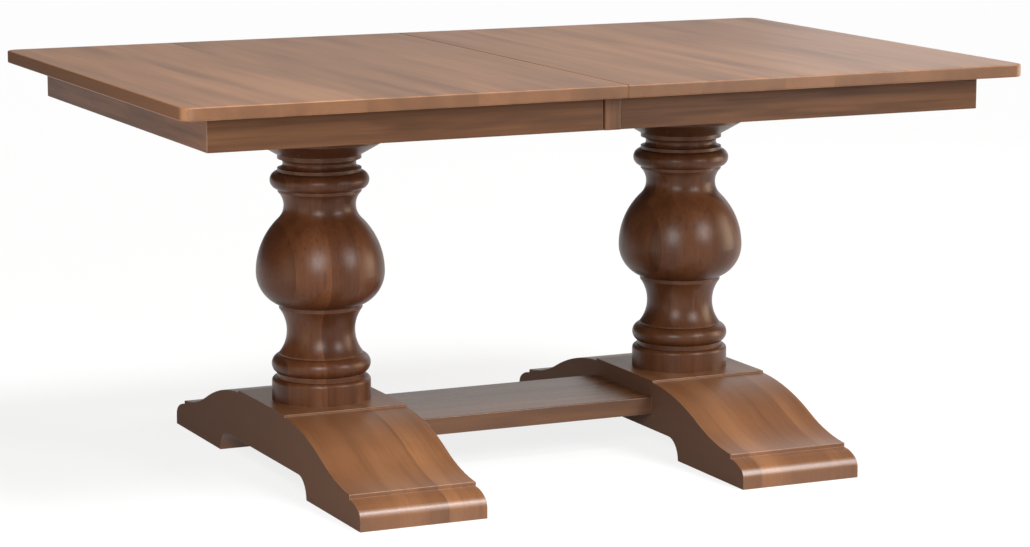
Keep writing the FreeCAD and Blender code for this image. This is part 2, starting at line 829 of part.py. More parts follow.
def peg(name, radius, length, chamfer):
    """A round dowel with chamfered ends, centred on its middle."""
    body = master(name)
    half = length / 2
    profile = [
        corner(0, -half),
        corner(radius - chamfer, -half),
        corner(radius, chamfer - half),
        corner(radius, half - chamfer),
        corner(radius - chamfer, half),
        corner(0, half),
    ]
    turn(body, profile)
    return body


def ring(name, bore, radius, height):
    """A flat washer."""
    body = master(name)
    turn(body, [corner(bore, 0), corner(radius, 0), corner(radius, height), corner(bore, height)])
    return body


def hex_nut(name, flats, bore, height):
    """A plain hexagon nut with its bore."""
    body = master(name)
    point = flats / math.sqrt(3)
    corners = []
    for step in range(6):
        angle = math.radians(60 * step)
        corners.append(corner(point * math.cos(angle), point * math.sin(angle)))
    pad(body, "XY", corners, 0, height)
    drill(body, "XY", [(0, 0)], bore, 0, height)
    return body


def wood_screw(name, length):
    """A pan-head wood screw."""
    shape = (size.screw_head_radius, size.screw_head_height, size.screw_radius)
    return headed_pin(name, *shape, length, size.screw_point)


def column_profile():
    """The turned outline of a column, as radius and height over the foot."""
    height = COLUMN_TOP - size.foot_height
    band = size.band_radius
    groove = size.collar_height
    lower_ring = groove + size.groove_height
    lower_ring_end = lower_ring + size.lower_ring_height
    hollow = lower_ring_end + size.lower_ring_band
    hollow_end = hollow + size.hollow_height
    bulb = hollow_end + size.bulb_band
    equator = bulb + size.bulb_lower_height
    rim = height - size.rim_height
    flare = rim - size.flare_height
    scotia_end = flare - size.capital_band
    scotia = scotia_end - size.scotia_height
    upper_ring_end = scotia - size.upper_ring_band
    upper_ring = upper_ring_end - size.upper_ring_height
    neck_end = upper_ring - size.neck_band
    neck = neck_end - size.neck_height
    swell = size.bulb_radius - band
    lower_bulb_radius = (swell * swell + size.bulb_lower_height * size.bulb_lower_height) / (swell * 2)
    shelf = band - size.scotia_shelf
    return [
        corner(ROD_BORE, 0),
        corner(size.collar_radius, 0),
        corner(size.collar_radius, size.collar_height - size.collar_round),
        corner(size.collar_radius - size.collar_round, size.collar_height, "tangent"),
        corner(size.groove_radius, groove),
        corner(size.groove_radius, lower_ring),
        corner(band, lower_ring_end, "rise", size.ring_radius - (size.groove_radius + band) / 2),
        corner(band, hollow),
        corner(band, hollow_end, "rise", size.hollow_radius - band),
        corner(band, bulb),
        corner(size.bulb_radius, equator, "round", lower_bulb_radius),
        corner(band, neck, "tangent"),
        corner(band, neck_end, "tangent"),
        corner(band, upper_ring),
        corner(band, upper_ring_end, "rise", size.ring_radius - band),
        corner(band, scotia),
        corner(shelf, scotia),
        corner(shelf, scotia_end, "rise", size.scotia_radius - shelf),
        corner(band, scotia_end),
        corner(band, flare),
        corner(size.rim_radius, rim),
        corner(size.rim_radius, height),
        corner(ROD_BORE, height),
    ]


def column_screw_places():
    """Middle points of the screws from a bearer into a column, about the column's axis."""
    offset = size.column_screw_offset
    return [(x * offset, y * offset) for x in (-1, 1) for y in (-1, 1)]


def column_dowel_places():
    """Middle points of the dowels between a foot and its column, about the column's axis."""
    return [(0, row * size.column_dowel_offset) for row in (FRONT, REAR)]


def column(side):
    """A turned column, bored through for the tie rod."""
    body = new_node(f"{SIDE_NAMES[side]}_column")
    place(body, side * PEDESTAL, 0, size.foot_height)
    turn(body, column_profile())
    drill(body, "XY", column_dowel_places(), DOWEL_HOLE, 0, DOWEL_DEPTH)
    grip = size.column_screw_grip + size.dowel_end_gap
    drill(body, "XY", column_screw_places(), SCREW_HOLE, COLUMN_TOP - size.foot_height - grip, grip)


def foot(side):
    """A sledge foot: a flat seat for the column, sweeping down to a rounded toe over an arch."""
    body = new_node(f"{SIDE_NAMES[side]}_foot")
    place(body, side * PEDESTAL)
    toe = size.foot_length / 2
    lip = toe - size.toe_depth
    arch = size.arch_length / 2
    seat = size.plate_length / 2
    profile = [
        corner(0, size.arch_height),
        corner(arch - size.arch_height, size.arch_height),
        corner(arch, 0, "round", -size.arch_height),
        corner(toe, 0),
        corner(toe, size.toe_base),
        corner(toe - size.toe_nose_depth, size.toe_base + size.toe_nose_height, "tangent"),
        corner(lip, size.lip_height - size.lip_step, "tangent"),
        corner(lip, size.lip_height),
        corner(size.sweep_mid_reach, size.sweep_mid_height, "rise", -size.sweep_hollow),
        corner(seat, size.foot_height - size.plate_step, "tangent"),
        corner(seat, size.foot_height),
        corner(0, size.foot_height),
    ]
    half = pad(body, "YZ", profile, -size.foot_width / 2, size.foot_width)
    mirror = body.newObject("PartDesign::Mirrored", "Mirrored")
    mirror.Originals = [half]
    mirror.MirrorPlane = (next(item for item in body.Origin.OriginFeatures if item.Role == "XZ_Plane"), [""])
    body.Tip = mirror

    def on_flank(point):
        above_arch = point.z > size.arch_height.value + size.foot_round.value or abs(point.y) > arch.value
        on_step = near(abs(point.y), seat) or near(abs(point.y), lip)
        return near(abs(point.x), size.foot_width / 2) and above_arch and not on_step and not near(point.z, 0)

    def on_nosing(point):
        at_seat = near(point.z, size.foot_height) and near(abs(point.y), seat)
        at_lip = near(point.z, size.lip_height) and near(abs(point.y), lip)
        return near(point.x, 0) and (at_seat or at_lip)

    ease(body, "Fillet", size.foot_round, lambda point: on_flank(point) or on_nosing(point))
    drill(body, "XY", [(0, 0)], ROD_BORE, size.arch_height, size.foot_height - size.arch_height)
    drill(body, "XY", [(0, 0)], size.sink_radius, size.arch_height, size.sink_depth)
    drill(body, "XY", column_dowel_places(), DOWEL_HOLE, size.foot_height - DOWEL_DEPTH, DOWEL_DEPTH)
    for places, radius, depth in stretcher_fixings():
        level = size.foot_width / 2 - depth if side == LEFT else -size.foot_width / 2
        drill(body, "YZ", places, radius, level, depth)


def stretcher_fixings():
    """The bolt holes and dowel holes across a stretcher joint: places, radius and depth in the foot."""
    bolts = [(row * size.bolt_spacing / 2, BOLT_LEVEL) for row in (FRONT, REAR)]
    dowels = [(row * size.stretcher_dowel_offset, BOLT_LEVEL) for row in (FRONT, REAR)]
    return [
        (bolts, size.bolt_radius + size.thread_clearance, size.bolt_grip + size.dowel_end_gap),
        (dowels, DOWEL_HOLE, DOWEL_DEPTH),
    ]


def stretcher():
    """The plank between the feet, with a pocket under each bolt for its washer and nut."""
    body = new_node("stretcher")
    half = size.stretcher_width / 2
    outline = rectangle(-FOOT_INNER, FOOT_INNER, -half, half)
    pad(body, "XY", outline, size.stretcher_height, size.stretcher_thickness)
    ease(body, "Fillet", size.stretcher_round, lambda point: near(point.x, 0) and near(abs(point.y), half))
    rise = BOLT_LEVEL + size.pocket_rise - size.stretcher_height
    room = size.pocket_width / 2
    for side in (LEFT, RIGHT):
        end = side * FOOT_INNER
        near_wall = end - side * size.pocket_setback
        far_wall = near_wall - side * size.pocket_length
        for row in (FRONT, REAR):
            middle = row * size.bolt_spacing / 2
            walls = rectangle(near_wall, far_wall, middle - room, middle + room)
            cut(body, "XY", walls, size.stretcher_height, rise)
        bolts, dowels = stretcher_fixings()
        for (places, radius, _), depth in ((bolts, size.pocket_setback), (dowels, DOWEL_DEPTH)):
            level = end - depth if side == RIGHT else end
            drill(body, "YZ", places, radius, level, depth)


def bearer(side):
    """The board on top of a column that carries both rails, with its lower ends chamfered."""
    body = new_node(f"{SIDE_NAMES[side]}_bearer")
    x = side * PEDESTAL
    half = RAIL_Y + RAIL_HALF + size.bearer_margin
    outline = rectangle(x - size.bearer_width / 2, x + size.bearer_width / 2, -half, half)
    pad(body, "XY", outline, COLUMN_TOP, size.bearer_thickness)

    def on_lower_end(point):
        return near(point.z, COLUMN_TOP) and near(abs(point.y), half)

    ease(body, "Chamfer", size.bearer_chamfer, on_lower_end)
    drill(body, "XY", [(x, 0)], ROD_BORE, COLUMN_TOP, size.bearer_thickness)
    column_screws = [(x + across, along) for across, along in column_screw_places()]
    rail_screws = [(x + shift, row * RAIL_Y) for shift in (-size.rail_screw_offset, size.rail_screw_offset)
                   for row in (FRONT, REAR)]
    drill(body, "XY", column_screws + rail_screws, SCREW_HOLE, COLUMN_TOP, size.bearer_thickness)
    seat = size.screw_seat_depth
    drill(body, "XY", column_screws, size.screw_seat_radius, BEARER_TOP - seat, seat)
    drill(body, "XY", rail_screws, size.screw_seat_radius, COLUMN_TOP, seat)


def tie_rods():
    """The steel rods that clamp foot, column and bearer together, with their washers and nuts."""
    sides = (LEFT, RIGHT)
    low_washer = size.arch_height + size.sink_depth - size.rod_washer_thickness
    low_nut = low_washer - size.rod_nut_height
    high_nut = BEARER_TOP + size.rod_washer_thickness
    low = low_nut - size.rod_proud
    high = high_nut + size.rod_nut_height + size.rod_proud
    for side in sides:
        rod = new_node(f"{SIDE_NAMES[side]}_tie_rod", "Part::Cylinder")
        bind(rod, "Radius", size.rod_radius)
        bind(rod, "Height", high - low)
        place(rod, side * PEDESTAL, 0, low)
    washer = ring("rod_washer", ROD_BORE, size.rod_washer_radius, size.rod_washer_thickness)
    bore = size.rod_radius + size.thread_clearance
    nut = hex_nut("rod_nut", size.rod_nut_flats, bore, size.rod_nut_height)
    washers = [(side * PEDESTAL, 0, z) for side in sides for z in (low_washer, BEARER_TOP)]
    nuts = [(side * PEDESTAL, 0, z) for side in sides for z in (low_nut, high_nut)]
    group("tie_rod_washers", washer, washers)
    group("tie_rod_nuts", nut, nuts)


def stretcher_hardware():
    """The bolts, washers, nuts and dowels that hold the stretcher between the feet."""
    tail = size.pocket_setback + size.bolt_washer_thickness + size.bolt_nut_height + size.bolt_proud
    length = size.bolt_grip + tail
    bolt = peg("bolt", size.bolt_radius, length, size.bolt_chamfer)
    washer_bore = size.bolt_radius + size.bolt_washer_clearance
    washer = ring("bolt_washer", washer_bore, size.bolt_washer_radius, size.bolt_washer_thickness)
    bore = size.bolt_radius + size.thread_clearance
    nut = hex_nut("bolt_nut", size.bolt_nut_flats, bore, size.bolt_nut_height)
    dowel = peg("stretcher_dowel", size.dowel_radius, size.dowel_length, size.dowel_chamfer)
    bolts, washers, nuts, dowels = [], [], [], []
    for side in (LEFT, RIGHT):
        end = side * FOOT_INNER
        inward = FreeCAD.Rotation(FreeCAD.Vector(0, 0, 1), FreeCAD.Vector(-side, 0, 0))
        seat = end - side * size.pocket_setback
        for row in (FRONT, REAR):
            y = row * size.bolt_spacing / 2
            bolts.append((end + side * (size.bolt_grip - length / 2), y, BOLT_LEVEL, inward))
            washers.append((seat, y, BOLT_LEVEL, inward))
            nuts.append((seat - side * size.bolt_washer_thickness, y, BOLT_LEVEL, inward))
            dowels.append((end, row * size.stretcher_dowel_offset, BOLT_LEVEL, inward))
    group("stretcher_bolts", bolt, bolts)
    group("stretcher_washers", washer, washers)
    group("stretcher_nuts", nut, nuts)
    group("stretcher_dowels", dowel, dowels)


def column_hardware():
    """The dowels under the columns and the screws through the bearers."""
    sides = (LEFT, RIGHT)
    dowel = peg("column_dowel", size.dowel_radius, size.dowel_length, size.dowel_chamfer)
    dowels = [(side * PEDESTAL + x, y, size.foot_height) for side in sides for x, y in column_dowel_places()]
    group("column_dowels", dowel, dowels)
    through = size.bearer_thickness - size.screw_seat_depth
    column_screw = wood_screw("column_screw", through + size.column_screw_grip)
    seat = BEARER_TOP - size.screw_seat_depth
    downward = FreeCAD.Rotation(FreeCAD.Vector(1, 0, 0), 180)
    places = [(side * PEDESTAL + x, y, seat) for side in sides for x, y in column_screw_places()]
    group("column_screws", column_screw, places, downward)
    rail_screw = wood_screw("rail_screw", through + size.rail_screw_grip)
    level = COLUMN_TOP + size.screw_seat_depth
    places = [(x, y, level) for row in (FRONT, REAR) for x, y in rail_screw_places(row)]
    group("rail_screws", rail_screw, places)


def slide_hardware():
    """The pinions' shouldered pins and the screws that hold the runners to the top."""
    head = PINION_BOTTOM + size.pinion_thickness + size.pinion_lift
    length = head - NOTCH_FLOOR + size.pinion_pin_grip
    shape = (size.pinion_head_radius, size.pinion_head_height, size.pinion_pin_radius)
    pin = headed_pin("pinion_pin", *shape, length)
    downward = FreeCAD.Rotation(FreeCAD.Vector(1, 0, 0), 180)
    group("pinion_pins", pin, [(0, row * RAIL_Y, head) for row in (FRONT, REAR)], downward)
    through = size.rail_height - size.runner_seat_depth
    screw = wood_screw("runner_screw", through + size.runner_screw_grip)
    level = RUNNER_BOTTOM + size.runner_seat_depth
    for side in (LEFT, RIGHT):
        places = [(x, y, level) for row in (FRONT, REAR) for x, y in runner_screw_places(side, row)]
        group(f"{SIDE_NAMES[side]}_runner_screws", screw, places)


def alignment_pins():
    """The pins in the right half's seam that enter sockets in the left half."""
    pin = peg("alignment_pin", size.pin_radius, size.pin_length, size.pin_chamfer)
    along = FreeCAD.Rotation(FreeCAD.Vector(0, 0, 1), FreeCAD.Vector(1, 0, 0))
    middle = UNDERSIDE + size.top_thickness / 2
    group("alignment_pins", pin, [(SEAM, y, middle) for y in pin_places()], along)


def table_locks():
    """The hook locks under the seam: plates, pivots and levers on the left half, keepers on the right."""
    thick = size.lock_plate_thickness
    level = UNDERSIDE - thick
    lever_top = level - size.lock_gap
    lever_bottom = lever_top - size.lever_thickness
    pivot_x = -SEAM - size.lock_pivot_setback
    bore = size.pivot_radius + size.pivot_clearance

    plate = master("lock_plate")
    half_length = size.lock_plate_length / 2
    half_width = size.lock_plate_width / 2
    pad(plate, "XY", rectangle(-half_length, half_length, -half_width, half_width), 0, thick)
    drill(plate, "XY", [(0, 0)], bore, 0, thick)
    rows = (FRONT, REAR)
    group("lock_plates", plate, [(pivot_x, row * LOCK_Y, level) for row in rows])

    seat = lever_bottom - size.lock_gap
    shape = (size.pivot_head_radius, size.pivot_head_height, size.pivot_radius, UNDERSIDE - seat)
    pivot = headed_pin("lock_pivot", *shape)
    group("lock_pivots", pivot, [(pivot_x, row * LOCK_Y, seat) for row in rows])

    keeper = master("lock_keeper")
    half = size.keeper_width / 2
    pad(keeper, "XY", rectangle(-half, half, -half, half), 0, thick)
    drop = size.lock_gap + size.lever_thickness + size.stud_tail
    stud = sketch_on(keeper, "XY", -drop)
    index = stud.addGeometry(Part.Circle(FreeCAD.Vector(), FreeCAD.Vector(0, 0, 1), size.stud_radius.value))
    rules = [Sketcher.Constraint("Coincident", index, 3, -1, 1)]
    rules.append(Sketcher.Constraint("Radius", index, size.stud_radius.value))
    tie(stud, rules, [None, size.stud_radius.text])
    post = keeper.newObject("PartDesign::Pad", "Pad")
    post.Profile = stud
    bind(post, "Length", drop)
    keeper_x = pivot_x + size.lock_reach
    group("lock_keepers", keeper, [(keeper_x, row * LOCK_Y, level) for row in rows])

    for row in rows:
        lock_lever(row, pivot_x, lever_bottom, bore)


def lock_lever(row, pivot_x, level, bore):
    """A flat hook lever, stored swung out of the way, with a curved notch for the keeper's stud."""
    lever = new_node(f"{ROW_NAMES[row]}_lock_lever")
    place(lever, pivot_x, row * LOCK_Y, level)
    lever.Placement = FreeCAD.Placement(FreeCAD.Vector(), FreeCAD.Rotation(FreeCAD.Vector(0, 0, 1), 1))
    bind(lever, "Placement.Rotation.Angle", size.lock_swing * row)
    half = size.lever_width / 2
    nose = size.lock_reach + size.lever_nose
    pad(lever, "XY", rectangle(-size.lever_tail, nose, -half, half), 0, size.lever_thickness)
    ends = (-size.lever_tail, nose)

    def on_corner(point):
        return near(abs(point.y), half) and any(near(point.x, end) for end in ends)

    ease(lever, "Fillet", size.lever_round, on_corner)
    room = size.stud_radius + size.hook_clearance
    inner = size.lock_reach - room
    outer = size.lock_reach + room
    closed, mouth = row * room, -row * (half + room)

    def on_arc(radius, y):
        return (radius * radius - y * y).root()

    notch = [
        corner(on_arc(inner, closed), closed),
        corner(on_arc(outer, closed), closed),
        corner(on_arc(outer, mouth), mouth, "round", -row * outer),
        corner(on_arc(inner, mouth), mouth),
    ]
    notch[0].kind = "round"
    notch[0].amount = row * inner
    cut(lever, "XY", notch, 0, size.lever_thickness)
    drill(lever, "XY", [(0, 0)], bore, 0, size.lever_thickness)


def build():
    """Build every sub-part in the document."""
    for side in (LEFT, RIGHT):
        foot(side)
        column(side)
        bearer(side)
        top_half(side)
        end_apron(side)
        glue_blocks(side)
        for row in (FRONT, REAR):
            side_apron(side, row)
            corner_block(side, row)
            runner(side, row)
            rack(side, row)
    for row in (FRONT, REAR):
        rail(row)
        pinion(row)
        apron_block(row)
        backing_block(row)
    stretcher()
    tie_rods()
    stretcher_hardware()
    column_hardware()
    slide_hardware()
    alignment_pins()
    table_locks()
    DOC.recompute()


def write():
    """Check every object and shape, and write each sub-part to its file."""
    failed = [item.Name for item in DOC.Objects if {"Invalid", "Error"} & set(item.State)]
    unsound = [node.Label for node in NODES if node.Shape.isNull() or not node.Shape.isValid()]
    if failed or unsound:
        raise RuntimeError(f"failed objects {failed}, unsound shapes {unsound}")
    os.makedirs("parts", exist_ok=True)
    for node in NODES:
        node.Shape.exportStep(f"parts/{node.Label}.step")
    print(len(NODES), "sub-parts written")


build()
write()
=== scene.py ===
"""Dining table on two turned pedestals: its finishes, small hardware, studio and camera.

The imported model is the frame. Every wooden node keeps its shape and gets a solid grain that runs
the way its boards were cut. The screws, with their driven heads and threads, and the thin strips
behind the apron joints are modelled here.
"""

import logging
import math
from dataclasses import dataclass, field
from enum import Enum
from typing import Callable, Sequence, Union

import bmesh
import bpy
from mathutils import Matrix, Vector


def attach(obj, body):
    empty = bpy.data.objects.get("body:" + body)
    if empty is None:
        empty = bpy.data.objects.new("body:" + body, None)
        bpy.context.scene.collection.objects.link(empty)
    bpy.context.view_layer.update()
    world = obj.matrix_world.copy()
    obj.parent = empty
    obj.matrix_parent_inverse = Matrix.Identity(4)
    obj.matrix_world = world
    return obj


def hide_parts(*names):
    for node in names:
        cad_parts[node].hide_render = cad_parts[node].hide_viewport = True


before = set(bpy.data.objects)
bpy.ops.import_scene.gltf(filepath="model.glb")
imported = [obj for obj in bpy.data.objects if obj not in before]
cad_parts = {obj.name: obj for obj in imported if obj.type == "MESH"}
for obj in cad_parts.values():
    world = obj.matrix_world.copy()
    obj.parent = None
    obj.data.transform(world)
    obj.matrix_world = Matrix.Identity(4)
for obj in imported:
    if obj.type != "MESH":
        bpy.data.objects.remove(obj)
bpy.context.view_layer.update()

log = logging.getLogger("dining_table")

Colour = tuple[float, float, float]
Point = tuple[float, float, float]
Socket = bpy.types.NodeSocket
Feed = Union[Socket, float, Sequence[float]]

# How near a corner is to a plane to count as on it, in metres
TOUCH = 1e-6

# How squarely a face looks along the fibres, or across them, before it counts as an end or a sawn side
END_FACE = (0.75, 0.97)
SAWN_FACE = (0.85, 0.98)

# Distances from the middle of the table: where the lacquer dulls in the seam, where the rubbed and
# painted-highlight edges start again beside it, and where painted shade darkens the seam
SEAM_DULL = (0.0030, 0.0015)
SEAM_CLEAR = (0.0025, 0.0045)
SEAM_SHADE = (0.0022, 0.0008)


class Grain(Enum):
    """The way a board's fibres run, as (along, across, through) axes."""

    ALONG_X = ("X", "Y", "Z")
    ALONG_Y = ("Y", "X", "Z")
    ALONG_Z = ("Z", "X", "Y")


class Side(Enum):
    """One end of the table."""

    LEFT = "left"
    RIGHT = "right"


class Sketch:
    """A pen that draws the node tree of one material."""

    def __init__(self, name: str) -> None:
        """Start an empty material.

        Args:
            name: the material's name.
        """
        self.material = bpy.data.materials.new(name)
        self.material.use_nodes = True
        self.tree = self.material.node_tree
        self.tree.nodes.clear()

    def node(self, kind: str, **settings: object) -> bpy.types.Node:
        """Add a node.

        Args:
            kind: the node's type name.
            settings: its properties.

        Returns:
            The new node.
        """
        made = self.tree.nodes.new(kind)
        for name, value in settings.items():
            setattr(made, name, value)
        return made

    def feed(self, socket: Socket, value: Feed) -> None:
        """Link a socket, or set it where the value is a number or a colour.

        Args:
            socket: the input.
            value: an output socket, a number, or a row of numbers.
        """
        if isinstance(value, Socket):
            self.tree.links.new(value, socket)
        else:
            socket.default_value = value

    def math(self, operation: str, *values: Feed) -> Socket:
        """Work out one sum.

        Args:
            operation: the sum's name.
            values: its numbers, in order.

        Returns:
            The answer's socket.
        """
        made = self.node("ShaderNodeMath", operation=operation)
        for socket, value in zip(made.inputs, values):
            self.feed(socket, value)
        return made.outputs[0]

    def centred(self, value: Feed, width: float) -> Socket:
        """Spread a number from 0 to 1 evenly about nought.

        Args:
            value: the number.
            width: how far apart its two ends come to lie.

        Returns:
            The spread number.
        """
        return self.math("MULTIPLY_ADD", value, width, -0.5 * width)

    def vector(self, *values: Feed) -> Socket:
        """Join three numbers to a vector.

        Args:
            values: the three numbers.

        Returns:
            The vector's socket.
        """
        made = self.node("ShaderNodeCombineXYZ")
        for socket, value in zip(made.inputs, values):
            self.feed(socket, value)
        return made.outputs[0]

    def split(self, vector: Feed) -> dict[str, Socket]:
        """Part a vector.

        Args:
            vector: the vector.

        Returns:
            Its X, Y and Z sockets.
        """
        made = self.node("ShaderNodeSeparateXYZ")
        self.feed(made.inputs[0], vector)
        return {axis: made.outputs[axis] for axis in "XYZ"}

    def place(self, scale: float) -> Socket:
        """Read the place in the piece.

        Args:
            scale: turns of a pattern in a metre.

        Returns:
            The scaled place.
        """
        here = self.node("ShaderNodeTexCoord")
        made = self.node("ShaderNodeVectorMath", operation="SCALE")
        self.feed(made.inputs[0], here.outputs["Object"])
        made.inputs["Scale"].default_value = scale
        return made.outputs[0]

    def bump(self, height: Feed, strength: float, rise: float) -> Socket:
        """Raise the surface a little.

        Args:
            height: where it is raised.
            strength: how much of the rise shows.
            rise: the full rise, in metres.

        Returns:
            The raised surface's normal.
        """
        made = self.node("ShaderNodeBump")
        self.feed(made.inputs["Height"], height)
        made.inputs["Strength"].default_value = strength
        made.inputs["Distance"].default_value = rise
        return made.outputs["Normal"]

    def noise(self, vector: Feed, detail: float, rough: float = 0.5) -> Socket:
        """Read a soft noise.

        Args:
            vector: where it is read, already scaled.
            detail: how many finer layers it has.
            rough: how strong they are.

        Returns:
            A number about a half.
        """
        made = self.node("ShaderNodeTexNoise")
        self.feed(made.inputs["Vector"], vector)
        made.inputs["Scale"].default_value = 1.0
        made.inputs["Detail"].default_value = detail
        made.inputs["Roughness"].default_value = rough
        return made.outputs["Fac"]

    def ramp(self, value: Feed, low: float, high: float) -> Socket:
        """Rise smoothly from 0 at low to 1 at high.

        Args:
            value: the number read.
            low: where the rise starts.
            high: where it ends.

        Returns:
            The risen number.
        """
        made = self.node("ShaderNodeMapRange", interpolation_type="SMOOTHSTEP")
        self.feed(made.inputs["Value"], value)
        made.inputs["From Min"].default_value = low
        made.inputs["From Max"].default_value = high
        return made.outputs["Result"]

    def mix(self, share: Feed, first: Feed, second: Feed, way: str = "MIX") -> Socket:
        """Blend two colours.

        Args:
            share: how much of the second.
            first: the ground colour.
            second: the colour laid on it.
            way: the blend's name.

        Returns:
            The blended colour.
        """
        made = self.node("ShaderNodeMix", data_type="RGBA", blend_type=way)
        self.feed(made.inputs[0], share)
        for socket, value in ((made.inputs[6], first), (made.inputs[7], second)):
            self.feed(socket, value if isinstance(value, Socket) else (*value, 1.0))
        return made.outputs[2]

    def surface(self, shader: Socket) -> bpy.types.Material:
        """Close the tree.

        Args:
            shader: the last shader.

        Returns:
            The finished material.
        """
        end = self.node("ShaderNodeOutputMaterial")
        self.feed(end.inputs["Surface"], shader)
        return self.material


@dataclass(frozen=True)
class Stain:
    """The colours of one stain: its dark streaks, its ground, its pale wood, cut ends, and its rubbed
    edges, which also carry a painted highlight.
    """

    dark: Colour
    mid: Colour
    pale: Colour
    end: Colour
    edge: Colour

    def toned(self, share: float) -> "Stain":
        """Scale every colour of the stain. This lays it on heavier or thinner, and on some pieces it
        paints shade or light.

        Args:
            share: how bright each colour is beside its own.

        Returns:
            The new stain.
        """
        rows = (self.dark, self.mid, self.pale, self.end, self.edge)
        return Stain(*(tuple(share * part for part in row) for row in rows))


@dataclass(frozen=True)
class Boards:
    """How a piece is glued up: the boards' width, their depth in layers, and how much they differ."""

    width: float
    depth: float = 0.0
    start: float = 0.5
    differ: float = 0.3


@dataclass(frozen=True)
class Figure:
    """How strongly each mark of the timber shows, and the pitch, depth and closeness of its pattern."""

    smoke: float
    streak: float
    line: float
    ring: float
    pore: float
    pitch: float = 0.011
    layered: float = 1.0
    close: float = 1.0


@dataclass(frozen=True)
class Fibres:
    """A place in a piece, told along, across and through its fibres, and its board's own start."""

    along: Socket
    across: Socket
    through: Socket
    start: Socket

    def stretched(self, pen: Sketch, slow: float, fast: float) -> Socket:
        """Stretch a pattern along the fibres and start it afresh in every board.

        Args:
            pen: the material's pen.
            slow: turns of the pattern in a metre along the fibres.
            fast: turns in a metre across them.

        Returns:
            The place to read the pattern at.
        """
        return pen.vector(
            pen.math("MULTIPLY_ADD", self.along, slow, self.start),
            pen.math("MULTIPLY_ADD", self.across, fast, self.start),
            pen.math("MULTIPLY", self.through, fast))


@dataclass(frozen=True)
class Mark:
    """One mark of the timber: its turns in a metre, its finer layers and the span in which it shows."""

    slow: float
    fast: float
    detail: float
    rough: float = 0.5
    low: float = 0.0
    high: float = 1.0

    def soft(self, pen: Sketch, fibres: Fibres, close: float = 1.0) -> Socket:
        """Draw the mark's bare noise.

        Args:
            pen: the material's pen.
            fibres: the place in the piece.
            close: how much closer the pattern is drawn.

        Returns:
            A number about a half.
        """
        return pen.noise(
            fibres.stretched(pen, self.slow * close, self.fast * close), self.detail, self.rough)

    def drawn(self, pen: Sketch, fibres: Fibres, close: float = 1.0) -> Socket:
        """Draw the mark.

        Args:
            pen: the material's pen.
            fibres: the place in the piece.
            close: how much closer the pattern is drawn.

        Returns:
            How strongly it shows.
        """
        return pen.ramp(self.soft(pen, fibres, close), self.low, self.high)


FINE = Mark(9.0, 420.0, 2.0)
PORE = Mark(26.0, 800.0, 1.0, low=0.60, high=0.72)
GLOW = Mark(1.4, 11.0, 2.0, low=0.34, high=0.68)
SMOKE = Mark(1.3, 13.0, 2.0, low=0.42, high=0.72)
STREAK = Mark(1.6, 48.0, 4.0, 0.6, 0.45, 0.72)
LINE = Mark(3.0, 190.0, 3.0, 0.6, 0.48, 0.74)


